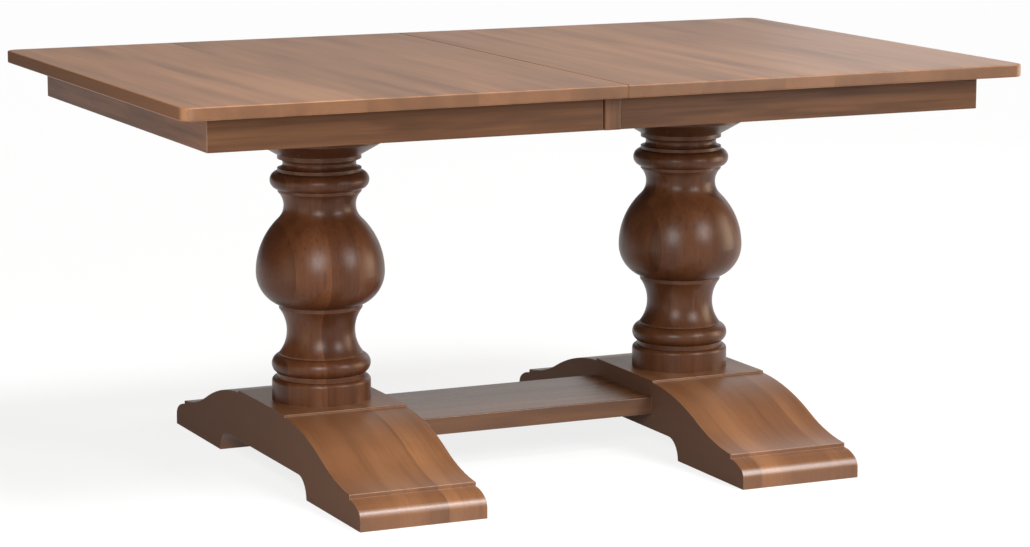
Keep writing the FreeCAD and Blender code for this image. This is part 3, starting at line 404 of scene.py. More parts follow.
@dataclass(frozen=True)
class WoodFinish:
    """Stained and lacquered hardwood with a solid grain, so that every cut through it agrees."""

    name: str
    grain: Grain
    boards: Boards
    stain: Stain
    seed: float
    figure: Figure
    roughness: float = 0.40
    gloss: float = 0.50
    dull: float = 0.0
    sawn_stain_and_shade: float = 0.0
    ends: float = 0.75
    seam: bool = False

    def material(self) -> bpy.types.Material:
        """Draw the finish.

        Returns:
            Its material.
        """
        pen = Sketch(self.name)
        place = pen.node("ShaderNodeTexCoord")
        axes = pen.split(place.outputs["Object"])
        along, across, through = (axes[axis] for axis in self.grain.value)
        board, layer, luck = self.glue_up(pen, across, through)
        depth = pen.math("MULTIPLY", through, self.figure.layered)
        fibres = Fibres(along, across, depth, pen.math("MULTIPLY", luck["X"], 40.0))

        fine = FINE.soft(pen, fibres)
        pore = PORE.drawn(pen, fibres)
        ring = self.rings(pen, along, board, layer, luck)
        facing = pen.split(place.outputs["Normal"])
        end = pen.ramp(pen.math("ABSOLUTE", facing[self.grain.value[0]]), *END_FACE)
        sawn = pen.ramp(pen.math("ABSOLUTE", facing[self.grain.value[1]]), *SAWN_FACE)
        colour = self.stained(pen, fibres, luck, ring, fine, pore)
        colour = self.cut_faces(pen, colour, luck, end, sawn)
        off_middle = pen.math("ABSOLUTE", axes["X"])
        colour = self.rubbed_and_highlit_edges(pen, colour, off_middle)

        rough = pen.math("MULTIPLY_ADD", fine, 0.10, self.roughness - 0.05)
        rough = pen.math("MULTIPLY_ADD", sawn, self.dull, rough)
        if self.seam:
            rough = pen.math("MULTIPLY_ADD", pen.ramp(off_middle, *SEAM_DULL), 0.55, rough)
        open_grain = pen.math("MULTIPLY_ADD", pore, -0.6, fine)
        wood = pen.node("ShaderNodeBsdfPrincipled")
        pen.feed(wood.inputs["Base Color"], colour)
        pen.feed(wood.inputs["Roughness"], rough)
        pen.feed(wood.inputs["Normal"], pen.bump(open_grain, strength=0.08, rise=0.0004))
        wood.inputs["Specular IOR Level"].default_value = self.gloss
        return pen.surface(wood.outputs[0])

    def glue_up(self, pen: Sketch, across: Feed, through: Feed) -> tuple[Socket, Socket, dict]:
        """Part the piece into its glued boards.

        Args:
            pen: the material's pen.
            across: the place across the boards.
            through: the place through them.

        Returns:
            The place across one board, the place through it, and its three lucky numbers.
        """
        wave = pen.math("SINE", pen.math("MULTIPLY", across, 1.9 / self.boards.width))
        count = pen.math("MULTIPLY_ADD", across, 1.0 / self.boards.width, self.boards.start)
        count = pen.math("MULTIPLY_ADD", wave, 0.20, count)
        number = pen.math("FLOOR", count)
        board = pen.math("SUBTRACT", pen.math("FRACT", count), 0.5)
        board = pen.math("MULTIPLY", board, self.boards.width)
        level, layer = 0.0, through
        if self.boards.depth:
            stack = pen.math("MULTIPLY_ADD", number, 0.37, 0.1)
            stack = pen.math("MULTIPLY_ADD", through, 1.0 / self.boards.depth, stack)
            level = pen.math("FLOOR", stack)
            layer = pen.math("SUBTRACT", pen.math("FRACT", stack), 0.5)
            layer = pen.math("MULTIPLY", layer, self.boards.depth)
        chance = pen.node("ShaderNodeTexWhiteNoise", noise_dimensions="3D")
        pen.feed(chance.inputs["Vector"], pen.vector(number, level, self.seed))
        return board, layer, pen.split(chance.outputs["Color"])

    def rings(self, pen: Sketch, along: Feed, board: Feed, layer: Feed, luck: dict) -> Socket:
        """Draw the growth rings about each board's own heart.

        Args:
            pen: the material's pen.
            along: the place along the fibres.
            board: the place across one board.
            layer: the place through it.
            luck: the board's lucky numbers.

        Returns:
            How dark the ring is.
        """
        start = pen.math("MULTIPLY", luck["Y"], 60.0)
        slow = pen.math("MULTIPLY_ADD", along, 1.5, start)
        sway = pen.centred(pen.noise(pen.vector(slow, start, luck["X"]), 2.0), 0.12)
        heart = pen.centred(luck["Y"], 0.16)
        wide = pen.math("ADD", pen.math("ADD", board, heart), sway)
        deep = pen.math("ADD", pen.math("MULTIPLY_ADD", luck["X"], 0.10, 0.05), layer)
        reach = pen.node("ShaderNodeVectorMath", operation="LENGTH")
        pen.feed(reach.inputs[0], pen.vector(wide, deep, 0.0))
        year = pen.math("FRACT", pen.math("MULTIPLY", reach.outputs["Value"], 1.0 / self.figure.pitch))
        return pen.math("MULTIPLY", pen.ramp(year, 0.15, 0.85), pen.ramp(year, 1.0, 0.88))

    def stained(
        self, pen: Sketch, fibres: Fibres, luck: dict, ring: Socket, fine: Socket, pore: Socket
    ) -> Socket:
        """Lay the stain on the bare timber.

        Args:
            pen: the material's pen.
            fibres: the place in the piece.
            luck: the board's lucky numbers.
            ring: the growth rings.
            fine: the finest fibres.
            pore: the open pores.

        Returns:
            The stained colour.
        """
        look = self.figure
        apart = pen.centred(luck["Z"], self.boards.differ)
        glow = pen.math("ADD", GLOW.soft(pen, fibres), apart)
        colour = pen.mix(pen.ramp(glow, GLOW.low, GLOW.high), self.stain.mid, self.stain.pale)
        marks = (
            (SMOKE.drawn(pen, fibres, look.close), look.smoke),
            (STREAK.drawn(pen, fibres), look.streak),
            (LINE.drawn(pen, fibres), look.line),
            (ring, look.ring),
            (pore, look.pore))
        for mark, strength in marks:
            colour = pen.mix(pen.math("MULTIPLY", mark, strength), colour, self.stain.dark)
        tone = pen.math("MULTIPLY_ADD", fine, 0.20, 0.90)
        tone = pen.math("ADD", tone, pen.math("MULTIPLY", apart, 0.5))
        return pen.mix(1.0, colour, pen.vector(tone, tone, tone), "MULTIPLY")

    def cut_faces(
        self, pen: Sketch, colour: Feed, luck: dict, end: Socket, sawn: Socket
    ) -> Socket:
        """Change the colour of the cut ends, board by board, and darken the sawn sides, partly as a deeper
        stain and partly as painted shade.

        Args:
            pen: the material's pen.
            colour: the colour so far.
            luck: the board's lucky numbers.
            end: how squarely the face cuts the fibres.
            sawn: how squarely it faces across them.

        Returns:
            The colour with its cut faces.
        """
        tone = pen.math("MULTIPLY_ADD", luck["Y"], 0.6, 0.7)
        patch = pen.mix(1.0, self.stain.end, pen.vector(tone, tone, tone), "MULTIPLY")
        colour = pen.mix(pen.math("MULTIPLY", end, self.ends), colour, patch)
        # Sawn sides are darkened towards the dark stain: partly a stain that sinks in deeper, partly
        # painted shade.
        return pen.mix(pen.math("MULTIPLY", sawn, self.sawn_stain_and_shade), colour, self.stain.dark)

    def rubbed_and_highlit_edges(self, pen: Sketch, colour: Feed, off_middle: Socket) -> Socket:
        """Lighten the sharp edges, partly as stain rubbed back and partly as a painted highlight, and
        paint shade into a seam.

        Args:
            pen: the material's pen.
            colour: the colour so far.
            off_middle: how far the place is from the middle of the table, where the seam is.

        Returns:
            The colour with its lightened edges and its painted seam shade.
        """
        # The bevel node finds the rounded arrises. They are lightened towards the edge colour, partly as
        # stain rubbed back and partly as a painted highlight.
        soft = pen.node("ShaderNodeBevel", samples=4)
        soft.inputs["Radius"].default_value = 0.0022
        bare = pen.node("ShaderNodeNewGeometry")
        match = pen.node("ShaderNodeVectorMath", operation="DOT_PRODUCT")
        pen.feed(match.inputs[0], soft.outputs["Normal"])
        pen.feed(match.inputs[1], bare.outputs["Normal"])
        wear_and_highlight = pen.math("MULTIPLY", pen.ramp(match.outputs["Value"], 0.985, 0.86), 0.55)
        if self.seam:
            wear_and_highlight = pen.math("MULTIPLY", wear_and_highlight, pen.ramp(off_middle, *SEAM_CLEAR))
            # Painted shade in the seam between the two halves of the top
            seam_shade = pen.math("MULTIPLY", pen.ramp(off_middle, *SEAM_SHADE), 0.4)
            colour = pen.mix(seam_shade, colour, self.stain.dark)
        return pen.mix(wear_and_highlight, colour, self.stain.edge)


@dataclass(frozen=True)
class SteelFinish:
    """Bright zinc plate with a faint brushed cloud."""

    name: str
    colour: Colour
    roughness: float

    def material(self) -> bpy.types.Material:
        """Draw the finish.

        Returns:
            Its material.
        """
        pen = Sketch(self.name)
        cloud = pen.noise(pen.place(260.0), 3.0, 0.6)
        dull = tuple(0.72 * part for part in self.colour)
        steel = pen.node("ShaderNodeBsdfPrincipled")
        pen.feed(steel.inputs["Base Color"], pen.mix(cloud, self.colour, dull))
        pen.feed(steel.inputs["Roughness"], pen.math("MULTIPLY_ADD", cloud, 0.22, self.roughness - 0.11))
        steel.inputs["Metallic"].default_value = 1.0
        return pen.surface(steel.outputs[0])


@dataclass(frozen=True)
class NylonFinish:
    """Moulded black nylon with a fine spark texture."""

    name: str
    colour: Colour
    roughness: float

    def material(self) -> bpy.types.Material:
        """Draw the finish.

        Returns:
            Its material.
        """
        pen = Sketch(self.name)
        spark = pen.noise(pen.place(900.0), 2.0)
        pale = tuple(1.6 * part for part in self.colour)
        nylon = pen.node("ShaderNodeBsdfPrincipled")
        pen.feed(nylon.inputs["Base Color"], pen.mix(spark, self.colour, pale))
        pen.feed(nylon.inputs["Normal"], pen.bump(spark, strength=0.25, rise=0.0003))
        nylon.inputs["Roughness"].default_value = self.roughness
        return pen.surface(nylon.outputs[0])


Finish = Union[WoodFinish, SteelFinish, NylonFinish]

TOP_STAIN = Stain(
    (0.132, 0.058, 0.028), (0.274, 0.128, 0.060), (0.326, 0.155, 0.073), (0.083, 0.038, 0.0175),
    (0.48, 0.34, 0.26))
APRON_STAIN = Stain(
    (0.056, 0.023, 0.011), (0.125, 0.055, 0.025), (0.153, 0.068, 0.031), (0.10, 0.043, 0.019),
    (0.30, 0.19, 0.13))
TURNED_STAIN = Stain(
    (0.042, 0.012, 0.0042), (0.102, 0.034, 0.0128), (0.150, 0.054, 0.0205), (0.085, 0.028, 0.011),
    (0.26, 0.145, 0.085))
FOOT_STAIN = Stain(
    (0.085, 0.033, 0.013), (0.153, 0.063, 0.025), (0.205, 0.090, 0.037), (0.13, 0.054, 0.023),
    (0.40, 0.25, 0.17))
PLANK_STAIN = Stain(
    (0.068, 0.027, 0.011), (0.123, 0.051, 0.021), (0.164, 0.072, 0.030), (0.10, 0.042, 0.018),
    (0.36, 0.22, 0.15))
BARE_STAIN = Stain(
    (0.36, 0.22, 0.115), (0.58, 0.41, 0.245), (0.64, 0.48, 0.31), (0.48, 0.32, 0.18),
    (0.66, 0.52, 0.36))

SMOKY = Figure(smoke=0.60, streak=0.30, line=0.25, ring=0.0, pore=0.15)
STRAIGHT = Figure(smoke=0.60, streak=0.45, line=0.40, ring=0.05, pore=0.15, close=3.5)
STAVED = Figure(smoke=0.35, streak=0.35, line=0.45, ring=0.0, pore=0.15)
FLAMED = Figure(smoke=0.25, streak=0.40, line=0.30, ring=0.06, pore=0.15, pitch=0.026, layered=0.12)
PALE = Figure(smoke=0.30, streak=0.30, line=0.30, ring=0.20, pore=0.20, pitch=0.006)


def dress(nodes: Sequence[str], finish: Finish) -> bpy.types.Material:
    """Give CAD nodes a finish in place of their plain slot colour.

    Args:
        nodes: the nodes' names.
        finish: the finish they take.

    Returns:
        The finish's material.
    """
    material = finish.material()
    for name in nodes:
        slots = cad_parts[name].data.materials
        slots.clear()
        slots.append(material)
        log.info("%s dressed in %s", name, finish.name)
    return material


class Bench:
    """Hand tools for the one piece in work."""

    @staticmethod
    def pick(piece: bpy.types.Object, kind: str, wanted: Callable[[Vector], bool]) -> None:
        """Select the faces or edges whose every corner is wanted.

        Args:
            piece: the piece, in edit mode.
            kind: FACE or EDGE.
            wanted: tells whether a corner at this place is wanted.
        """
        bpy.ops.mesh.select_mode(type=kind)
        bpy.ops.mesh.select_all(action="DESELECT")
        work = bmesh.from_edit_mesh(piece.data)
        for part in work.faces if kind == "FACE" else work.edges:
            if all(wanted(corner.co) for corner in part.verts):
                part.select_set(True)
        bmesh.update_edit_mesh(piece.data)

    @staticmethod
    def take_up(*pieces: bpy.types.Object) -> None:
        """Select these pieces alone, the first as the active one.

        Args:
            pieces: the pieces.
        """
        bpy.ops.object.select_all(action="DESELECT")
        for piece in pieces:
            piece.select_set(True)
        bpy.context.view_layer.objects.active = pieces[0]

    @staticmethod
    def settle() -> None:
        """Move the picked piece's place into its mesh."""
        bpy.ops.object.transform_apply(location=True, rotation=True, scale=True)

    @classmethod
    def block(cls, name: str, low: Point, high: Point) -> bpy.types.Object:
        """Saw a plain block, to be shaped further.

        Args:
            name: the piece's name.
            low: its lowest corner.
            high: its highest corner.

        Returns:
            The block.
        """
        bpy.ops.object.select_all(action="DESELECT")
        middle = [(a + b) / 2 for a, b in zip(low, high)]
        bpy.ops.mesh.primitive_cube_add(
            size=1.0, location=middle, scale=[b - a for a, b in zip(low, high)])
        piece = bpy.context.active_object
        piece.name = name
        cls.settle()
        return piece

    @classmethod
    def copy(cls, piece: bpy.types.Object, shift: Vector, turn: float = 0.0) -> bpy.types.Object:
        """Copy a finished piece to another place, with a mesh of its own.

        Args:
            piece: the finished piece.
            shift: how far the copy goes.
            turn: how far it is turned about its own upright middle line.

        Returns:
            The copy.
        """
        cls.take_up(piece)
        bpy.ops.object.duplicate(linked=False)
        twin = bpy.context.active_object
        bpy.ops.transform.translate(value=shift)
        cls.settle()
        if turn:
            corners = [Vector(corner) for corner in twin.bound_box]
            middle = sum(corners, Vector()) / len(corners)
            bpy.ops.transform.rotate(value=turn, orient_axis="Z", center_override=middle)
            cls.settle()
        return twin


@dataclass
class ScrewSet:
    """One node's wood screws, with a domed head, a cross recess, a cut thread and a point."""

    node: str
    body: str
    seats: Sequence[Point]
    length: float
    way: float = 1.0
    head_radius: float = 0.0046
    head_height: float = 0.0032
    dome: float = 0.0014
    shank_radius: float = 0.0025
    neck: float = 0.008
    thread_depth: float = 0.0005
    thread_pitch: float = 0.0022
    point: float = 0.006
    slot_length: float = 0.0050
    slot_width: float = 0.0011
    slot_depth: float = 0.0020
    slot_taper: float = 0.55
    turn: float = 1.1

    def build(self, steel: bpy.types.Material) -> None:
        """Make one screw, drive a copy in every seat and let them stand for the node.

        Args:
            steel: the screws' material.
        """
        first = self.forge()
        self.recess(first)
        Bench.take_up(first)
        bpy.ops.object.shade_smooth_by_angle(angle=math.radians(35.0))
        home = Vector(self.seats[0])
        screws = [first]
        for number, seat in enumerate(self.seats[1:], 1):
            screws.append(Bench.copy(first, Vector(seat) - home, self.turn * number))
        Bench.take_up(*screws)
        bpy.ops.object.join()
        first.data.materials.append(steel)
        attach(first, self.body)
        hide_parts(self.node)
        log.info("%s made in place of %s", first.name, self.node)

    def forge(self) -> bpy.types.Object:
        """Dome a head and draw the threaded shank out of it.

        Returns:
            The screw without its recess.
        """
        x, y, z = self.seats[0]
        crown = z - self.way * self.head_height
        bpy.ops.object.select_all(action="DESELECT")
        bpy.ops.mesh.primitive_cylinder_add(
            vertices=20, radius=self.head_radius, depth=self.head_height, location=(x, y, (z + crown) / 2))
        screw = bpy.context.active_object
        screw.name = f"pan_head_{self.node}"
        Bench.settle()
        bpy.ops.object.mode_set(mode="EDIT")
        Bench.pick(screw, "EDGE", lambda place: abs(place.z - crown) < TOUCH)
        bpy.ops.mesh.bevel(offset=self.dome, segments=3, profile=0.5, affect="EDGES")
        Bench.pick(screw, "FACE", lambda place: abs(place.z - z) < TOUCH)
        bpy.ops.mesh.inset(thickness=self.head_radius - self.shank_radius, depth=0.0)
        self.draw_out(self.neck)
        root = 1.0 - self.thread_depth / self.shank_radius
        turns = int((self.length - self.neck - self.point) / self.thread_pitch)
        left = self.length - self.neck - self.point - turns * self.thread_pitch
        for _ in range(turns):
            self.draw_out(self.thread_pitch / 2, root)
            self.draw_out(self.thread_pitch / 2, 1.0 / root)
        self.draw_out(left + self.point / 2, 0.55)
        self.draw_out(self.point / 2, 0.12)
        bpy.ops.mesh.select_all(action="SELECT")
        bpy.ops.mesh.normals_make_consistent(inside=False)
        bpy.ops.object.mode_set(mode="OBJECT")
        return screw

    def draw_out(self, rise: float, swell: float = 1.0) -> None:
        """Draw the picked face out along the screw.

        Args:
            rise: how far it goes.
            swell: how much wider it ends.
        """
        bpy.ops.mesh.extrude_region_move(TRANSFORM_OT_translate={"value": (0.0, 0.0, self.way * rise)})
        bpy.ops.transform.resize(value=(swell, swell, 1.0), center_override=self.seats[0])

    def recess(self, screw: bpy.types.Object) -> None:
        """Cut the tapered cross for the driver.

        Args:
            screw: the screw.
        """
        x, y, z = self.seats[0]
        crown = z - self.way * self.head_height
        floor = crown + self.way * self.slot_depth
        over = crown - self.way * self.slot_depth
        for wide, deep in ((self.slot_length, self.slot_width), (self.slot_width, self.slot_length)):
            bar = Bench.block("driver_bar", (x - wide / 2, y - deep / 2, min(floor, over)),
                              (x + wide / 2, y + deep / 2, max(floor, over)))
            bpy.ops.object.mode_set(mode="EDIT")
            Bench.pick(bar, "FACE", lambda place: abs(place.z - floor) < TOUCH)
            bpy.ops.transform.resize(
                value=(self.slot_taper, self.slot_taper, 1.0), center_override=(x, y, floor))
            bpy.ops.object.mode_set(mode="OBJECT")
            cut = screw.modifiers.new("cross", "BOOLEAN")
            cut.operation, cut.solver, cut.object = "DIFFERENCE", "EXACT", bar
            Bench.take_up(screw)
            bpy.ops.object.modifier_apply(modifier=cut.name)
            Bench.take_up(bar)
            bpy.ops.object.delete()


@dataclass
class JointStrip:
    """The thin tongues beside the backing blocks that keep light from showing through the apron joints."""

    low: Point = (-0.030, -0.4469, 0.6879)
    high: Point = (0.00025, -0.4399, 0.7489)
    round_over: float = 0.0012
    apart: float = 0.8868

    def build(self) -> None:
        """Shape the front strip, copy it to the rear and dress both."""
        front = Bench.block("front_joint_strip", self.low, self.high)
        bpy.ops.object.mode_set(mode="EDIT")
        Bench.pick(front, "EDGE", lambda place: abs(place.y - self.high[1]) < TOUCH)
        bpy.ops.mesh.bevel(offset=self.round_over, segments=3, profile=0.5, affect="EDGES")
        bpy.ops.object.mode_set(mode="OBJECT")
        bpy.ops.object.shade_smooth_by_angle(angle=math.radians(40.0))
        rear = Bench.copy(front, Vector((0.0, self.apart, 0.0)), math.pi)
        rear.name = "rear_joint_strip"
        walnut = WoodFinish(
            "joint_strip_walnut", Grain.ALONG_X, Boards(0.3), APRON_STAIN, 61.0, STRAIGHT, gloss=0.18)
        material = walnut.material()
        for strip in (front, rear):
            strip.data.materials.append(material)
            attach(strip, "right_half")
            log.info("%s made", strip.name)


@dataclass
class TopHalf:
    """One sliding half of the top, with the apron under it and what holds them together."""

    side: Side
    board_width: float = 0.128

    def dress(self) -> None:
        """Finish the top across its width, the long aprons along their length and the ends across."""
        end = self.side.value
        # The right aprons' deeper tone (0.76 against 0.92) is painted shade.
        seed, tone = (3.1, 0.92) if self.side is Side.LEFT else (9.7, 0.76)
        whole = Boards(0.6, differ=0.05)
        dress([f"{end}_top"], WoodFinish(
            f"{end}_top_walnut", Grain.ALONG_Y, Boards(self.board_width, 0.0, seed, 0.16), TOP_STAIN,
            seed, SMOKY, gloss=0.28, dull=0.30, sawn_stain_and_shade=0.65, seam=True))
        for number, face in enumerate(("front", "rear")):
            dress([f"{end}_{face}_apron"], WoodFinish(
                f"{end}_{face}_apron_walnut", Grain.ALONG_X, whole, APRON_STAIN.toned(tone),
                seed + number + 1, STRAIGHT, gloss=0.18))
        # The end aprons are painted lighter than the long ones: painted light on faces that the lamps
        # barely reach.
        dress([f"{end}_end_apron"], WoodFinish(
            f"{end}_end_apron_walnut", Grain.ALONG_Y, whole, APRON_STAIN.toned(1.5), seed + 4, STRAIGHT,
            gloss=0.10))
        dress([f"{end}_front_corner_block", f"{end}_rear_corner_block", f"{end}_glue_blocks"], WoodFinish(
            f"{end}_block_hardwood", Grain.ALONG_Z, Boards(0.09), BARE_STAIN, seed, PALE))


@dataclass
class ApronJoint:
    """The proud blocks over the two apron joints, and the blocks behind them."""

    width: float = 0.3

    def dress(self) -> None:
        """Finish the proud blocks upright, as offcuts of the apron are."""
        dress(["front_apron_block", "rear_apron_block"], WoodFinish(
            "apron_block_walnut", Grain.ALONG_Z, Boards(self.width, differ=0.05), APRON_STAIN, 11.0,
            STRAIGHT, gloss=0.25))
        dress(["front_backing_block", "rear_backing_block"], WoodFinish(
            "backing_hardwood", Grain.ALONG_X, Boards(self.width), BARE_STAIN, 12.0, PALE))


@dataclass
class Pedestal:
    """One turned column with its foot and its bearer."""

    side: Side
    stave: float = 0.050
    stave_depth: float = 0.068
    strip: float = 0.052

    def dress(self) -> None:
        """Finish the column in upright staves and the foot in strips along its length."""
        end = self.side.value
        # The right column's deeper tone is partly a deeper stain and partly painted shade; the right
        # foot's sawn sides take more painted shade than the left foot's.
        seed, tone, sawn_stain_and_shade = (21.0, 0.88, 0.65) if self.side is Side.LEFT else (25.0, 0.66, 1.0)
        dress([f"{end}_column"], WoodFinish(
            f"{end}_column_walnut", Grain.ALONG_Z, Boards(self.stave, self.stave_depth, 0.2, 0.45),
            TURNED_STAIN.toned(tone), seed, STAVED, roughness=0.36, gloss=0.27))
        dress([f"{end}_foot"], WoodFinish(
            f"{end}_foot_walnut", Grain.ALONG_Y, Boards(self.strip, 0.0, 0.4, 0.26), FOOT_STAIN,
            seed + 1, FLAMED, roughness=0.37, gloss=0.60, dull=0.45, sawn_stain_and_shade=sawn_stain_and_shade, ends=0.30))
        dress([f"{end}_bearer"], WoodFinish(
            f"{end}_bearer_hardwood", Grain.ALONG_Y, Boards(0.12), BARE_STAIN, seed + 2, PALE))


@dataclass
class Stretcher:
    """The plank between the two feet."""

    board_width: float = 0.123

    def dress(self) -> None:
        """Finish the plank along its length."""
        dress(["stretcher"], WoodFinish(
            "stretcher_walnut", Grain.ALONG_X, Boards(self.board_width, differ=0.2), PLANK_STAIN, 31.0,
            STRAIGHT, roughness=0.28, gloss=0.55, dull=0.40, sawn_stain_and_shade=0.25))


@dataclass
class GearedSlides:
    """The rails, runners, racks and pinions that let the halves part evenly."""

    board_width: float = 0.06

    def dress(self) -> None:
        """Finish the wooden slides bare, and the gears in nylon."""
        ends = [f"{side.value}_{face}" for side in Side for face in ("front", "rear")]
        dress(["front_rail", "rear_rail", *(f"{end}_runner" for end in ends)], WoodFinish(
            "slide_hardwood", Grain.ALONG_X, Boards(self.board_width), BARE_STAIN, 41.0, PALE))
        dress(["front_pinion", "rear_pinion", *(f"{end}_rack" for end in ends)], NylonFinish(
            "gear_nylon", (0.03, 0.03, 0.03), 0.42))


@dataclass
class Hardware:
    """The rods, bolts, screws, pins and locks."""

    steel: SteelFinish = field(default=SteelFinish("zinc_plate", (0.62, 0.62, 0.60), 0.34))
    column_x: float = 0.38485
    rail_y: float = 0.170
    left_runner_y: float = 0.21486
    right_runner_y: float = 0.12514
    runner_screws_x: tuple[float, ...] = (0.06, 0.22, 0.38, 0.54)
    runner_seat: float = 0.7229
    rail_seat: float = 0.6629
    rail_reach: float = 0.07
    column_seat: float = 0.6879
    column_reach: float = 0.068

    def dress(self) -> None:
        """Finish the steel in zinc plate and the dowels bare."""
        steel = dress(
            ["left_tie_rod", "right_tie_rod", "tie_rod_washers", "tie_rod_nuts", "column_screws",
             "rail_screws", "stretcher_bolts", "stretcher_washers", "stretcher_nuts", "pinion_pins",
             "left_runner_screws", "right_runner_screws", "lock_plates", "lock_pivots", "lock_keepers",
             "front_lock_lever", "rear_lock_lever"], self.steel)
        dress(["column_dowels", "stretcher_dowels", "alignment_pins"], WoodFinish(
            "dowel_hardwood", Grain.ALONG_X, Boards(0.05), BARE_STAIN, 51.0, PALE))
        for screws in self.screw_sets():
            screws.build(steel)

    def screw_sets(self) -> list[ScrewSet]:
        """Set out the screws that hold the runners, the rails and the columns.

        Returns:
            One set for each node.
        """
        ends = (-self.column_x, self.column_x)
        rows = (-1.0, 1.0)
        left = [(-x, row * self.left_runner_y, self.runner_seat)
                for x in self.runner_screws_x for row in rows]
        right = [(x, row * self.right_runner_y, self.runner_seat)
                 for x in self.runner_screws_x for row in rows]
        rails = [(x + way * self.rail_reach, row * self.rail_y, self.rail_seat)
                 for x in ends for way in rows for row in rows]
        columns = [(x + way * self.column_reach, row * self.column_reach, self.column_seat)
                   for x in ends for way in rows for row in rows]
        return [ScrewSet("left_runner_screws", "left_half", left, 0.043),
                ScrewSet("right_runner_screws", "right_half", right, 0.043),
                ScrewSet("rail_screws", "base", rails, 0.054),
                ScrewSet("column_screws", "base", columns, 0.056, -1.0)]


@dataclass(frozen=True)
class Softbox:
    """A soft lamp of one size, hung at one place and aimed at one point."""

    name: str
    place: Point
    aim: Point
    size: tuple[float, float]
    power: float
    colour: Colour

    def hang(self) -> None:
        """Hang the lamp."""
        light = bpy.data.lights.new(self.name, "AREA")
        light.shape = "RECTANGLE"
        light.size, light.size_y = self.size
        light.energy, light.color = self.power, self.colour
        lamp = bpy.data.objects.new(self.name, light)
        lamp.location = self.place
        lamp.rotation_euler = (Vector(self.aim) - Vector(self.place)).to_track_quat("-Z", "Y").to_euler()
        lamp.visible_camera = False
        bpy.context.scene.collection.objects.link(lamp)
        log.info("%s hung", self.name)


@dataclass(frozen=True)
class BroadLight:
    """The even light of a broad white ceiling, from one direction and spread wide."""

    name: str
    towards: Point
    level: float
    spread: float

    def hang(self) -> None:
        """Hang the light."""
        light = bpy.data.lights.new(self.name, "SUN")
        light.energy = self.level * math.pi
        light.angle = math.radians(self.spread)
        lamp = bpy.data.objects.new(self.name, light)
        lamp.rotation_euler = Vector(self.towards).to_track_quat("Z", "Y").to_euler()
        bpy.context.scene.collection.objects.link(lamp)
        log.info("%s hung", self.name)


DAYLIGHT: Colour = (1.0, 1.0, 1.0)
LAMPLIGHT: Colour = (1.0, 0.80, 0.58)

LIGHTS = (
    BroadLight("front_ceiling", (0.313, -0.464, 0.829), 1.03, 24.0),
    Softbox("left_strip", (-1.28, -1.92, 1.16), (-0.385, 0.0, 0.42), (0.64, 0.82), 36.0, DAYLIGHT),
    Softbox("right_strip", (1.10, -1.95, 1.22), (0.0, 0.0, 0.42), (0.66, 0.72), 30.0, DAYLIGHT),
    Softbox("left_card", (-2.20, -0.50, 0.55), (-0.385, 0.0, 0.50), (1.0, 1.0), 6.5, LAMPLIGHT),
    Softbox("right_lamp", (3.60, -0.90, 0.90), (0.3, 0.0, 0.45), (1.6, 2.0), 78.0, LAMPLIGHT),
    Softbox("back_panel", (3.60, 3.20, 1.60), (0.2, 0.0, 0.70), (2.2, 1.4), 7.5, DAYLIGHT),
)


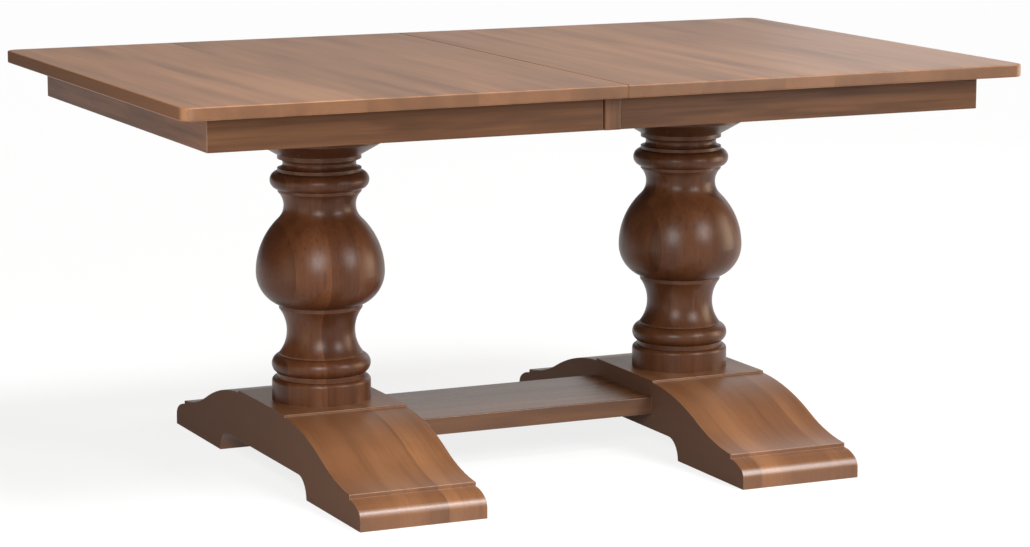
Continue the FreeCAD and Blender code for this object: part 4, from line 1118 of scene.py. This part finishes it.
@dataclass
class Studio:
    """The floor, the light and the camera."""

    floor_half: float = 40.0
    room_level: float = 0.06
    wall_level: float = 0.78
    wall_towards: Point = (0.64, 0.76, 0.10)
    wall_edge: tuple[float, float] = (0.75, 1.0)
    bounce: Colour = (0.28, 0.28, 0.28)
    paint: Colour = (0.95, 0.95, 0.95)
    whitened: float = 0.82
    camera_place: Point = (-2.61218, -5.71908, 1.42792)
    camera_turn: float = -0.43165
    camera_tilt: float = 0.16965
    lens: float = 114.34
    sensor: float = 36.0

    def build(self) -> None:
        """Set up the floor, the lamps, the room and the camera."""
        self.lay_floor()
        self.light_room()
        for light in LIGHTS:
            light.hang()
        self.aim_camera()

    def lay_floor(self) -> None:
        """Lay a plain white floor that keeps the table's shadow."""
        bpy.ops.object.select_all(action="DESELECT")
        bpy.ops.mesh.primitive_plane_add(size=2.0 * self.floor_half)
        floor = bpy.context.active_object
        floor.name = "studio_floor"
        pen = Sketch("studio_white")
        ray = pen.node("ShaderNodeLightPath")
        seen = pen.math("MAXIMUM", ray.outputs["Is Camera Ray"], ray.outputs["Is Glossy Ray"])
        seen = pen.math("MAXIMUM", seen, ray.outputs["Is Transmission Ray"])
        paint = pen.node("ShaderNodeBsdfDiffuse")
        pen.feed(paint.inputs["Color"], pen.mix(seen, self.bounce, self.paint))
        white = pen.node("ShaderNodeEmission")
        white.inputs["Color"].default_value = (1.0, 1.0, 1.0, 1.0)
        white.inputs["Strength"].default_value = 1.0
        both = pen.node("ShaderNodeMixShader")
        pen.feed(both.inputs[0], pen.math("MULTIPLY", seen, self.whitened))
        pen.feed(both.inputs[1], paint.outputs[0])
        pen.feed(both.inputs[2], white.outputs[0])
        floor.data.materials.append(pen.surface(both.outputs[0]))
        log.info("studio_floor laid")

    def light_room(self) -> None:
        """Fill the room with a pale light that is brightest at the wall behind the table."""
        world = bpy.data.worlds.new("studio_room")
        bpy.context.scene.world = world
        world.use_nodes = True
        nodes, links = world.node_tree.nodes, world.node_tree.links
        sky = nodes["Background"]
        sky.inputs["Color"].default_value = (1.0, 1.0, 1.0, 1.0)
        look = nodes.new("ShaderNodeTexCoord")
        facing = nodes.new("ShaderNodeVectorMath")
        facing.operation = "DOT_PRODUCT"
        facing.inputs[1].default_value = Vector(self.wall_towards).normalized()
        links.new(look.outputs["Generated"], facing.inputs[0])
        glow = nodes.new("ShaderNodeMapRange")
        glow.interpolation_type = "SMOOTHSTEP"
        glow.inputs["From Min"].default_value, glow.inputs["From Max"].default_value = self.wall_edge
        glow.inputs["To Min"].default_value = self.room_level
        glow.inputs["To Max"].default_value = self.wall_level
        links.new(facing.outputs["Value"], glow.inputs["Value"])
        links.new(glow.outputs["Result"], sky.inputs["Strength"])
        log.info("studio_room lit")

    def aim_camera(self) -> None:
        """Stand the camera where the photograph was taken from."""
        eye = bpy.data.cameras.new("studio_camera")
        eye.lens, eye.sensor_width = self.lens, self.sensor
        eye.clip_end = 200.0
        camera = bpy.data.objects.new("studio_camera", eye)
        camera.location = self.camera_place
        camera.rotation_euler = (math.pi / 2 - self.camera_tilt, 0.0, self.camera_turn)
        bpy.context.scene.collection.objects.link(camera)
        bpy.context.scene.camera = camera
        log.info("studio_camera aimed")


def main() -> None:
    """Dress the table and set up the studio."""
    logging.basicConfig(level=logging.INFO, format="%(name)s: %(message)s")
    scene = bpy.context.scene
    scene.view_settings.view_transform = "Standard"
    for side in Side:
        TopHalf(side).dress()
        Pedestal(side).dress()
    ApronJoint().dress()
    Stretcher().dress()
    GearedSlides().dress()
    Hardware().dress()
    JointStrip().build()
    Studio().build()


if __name__ == "__main__":
    main()
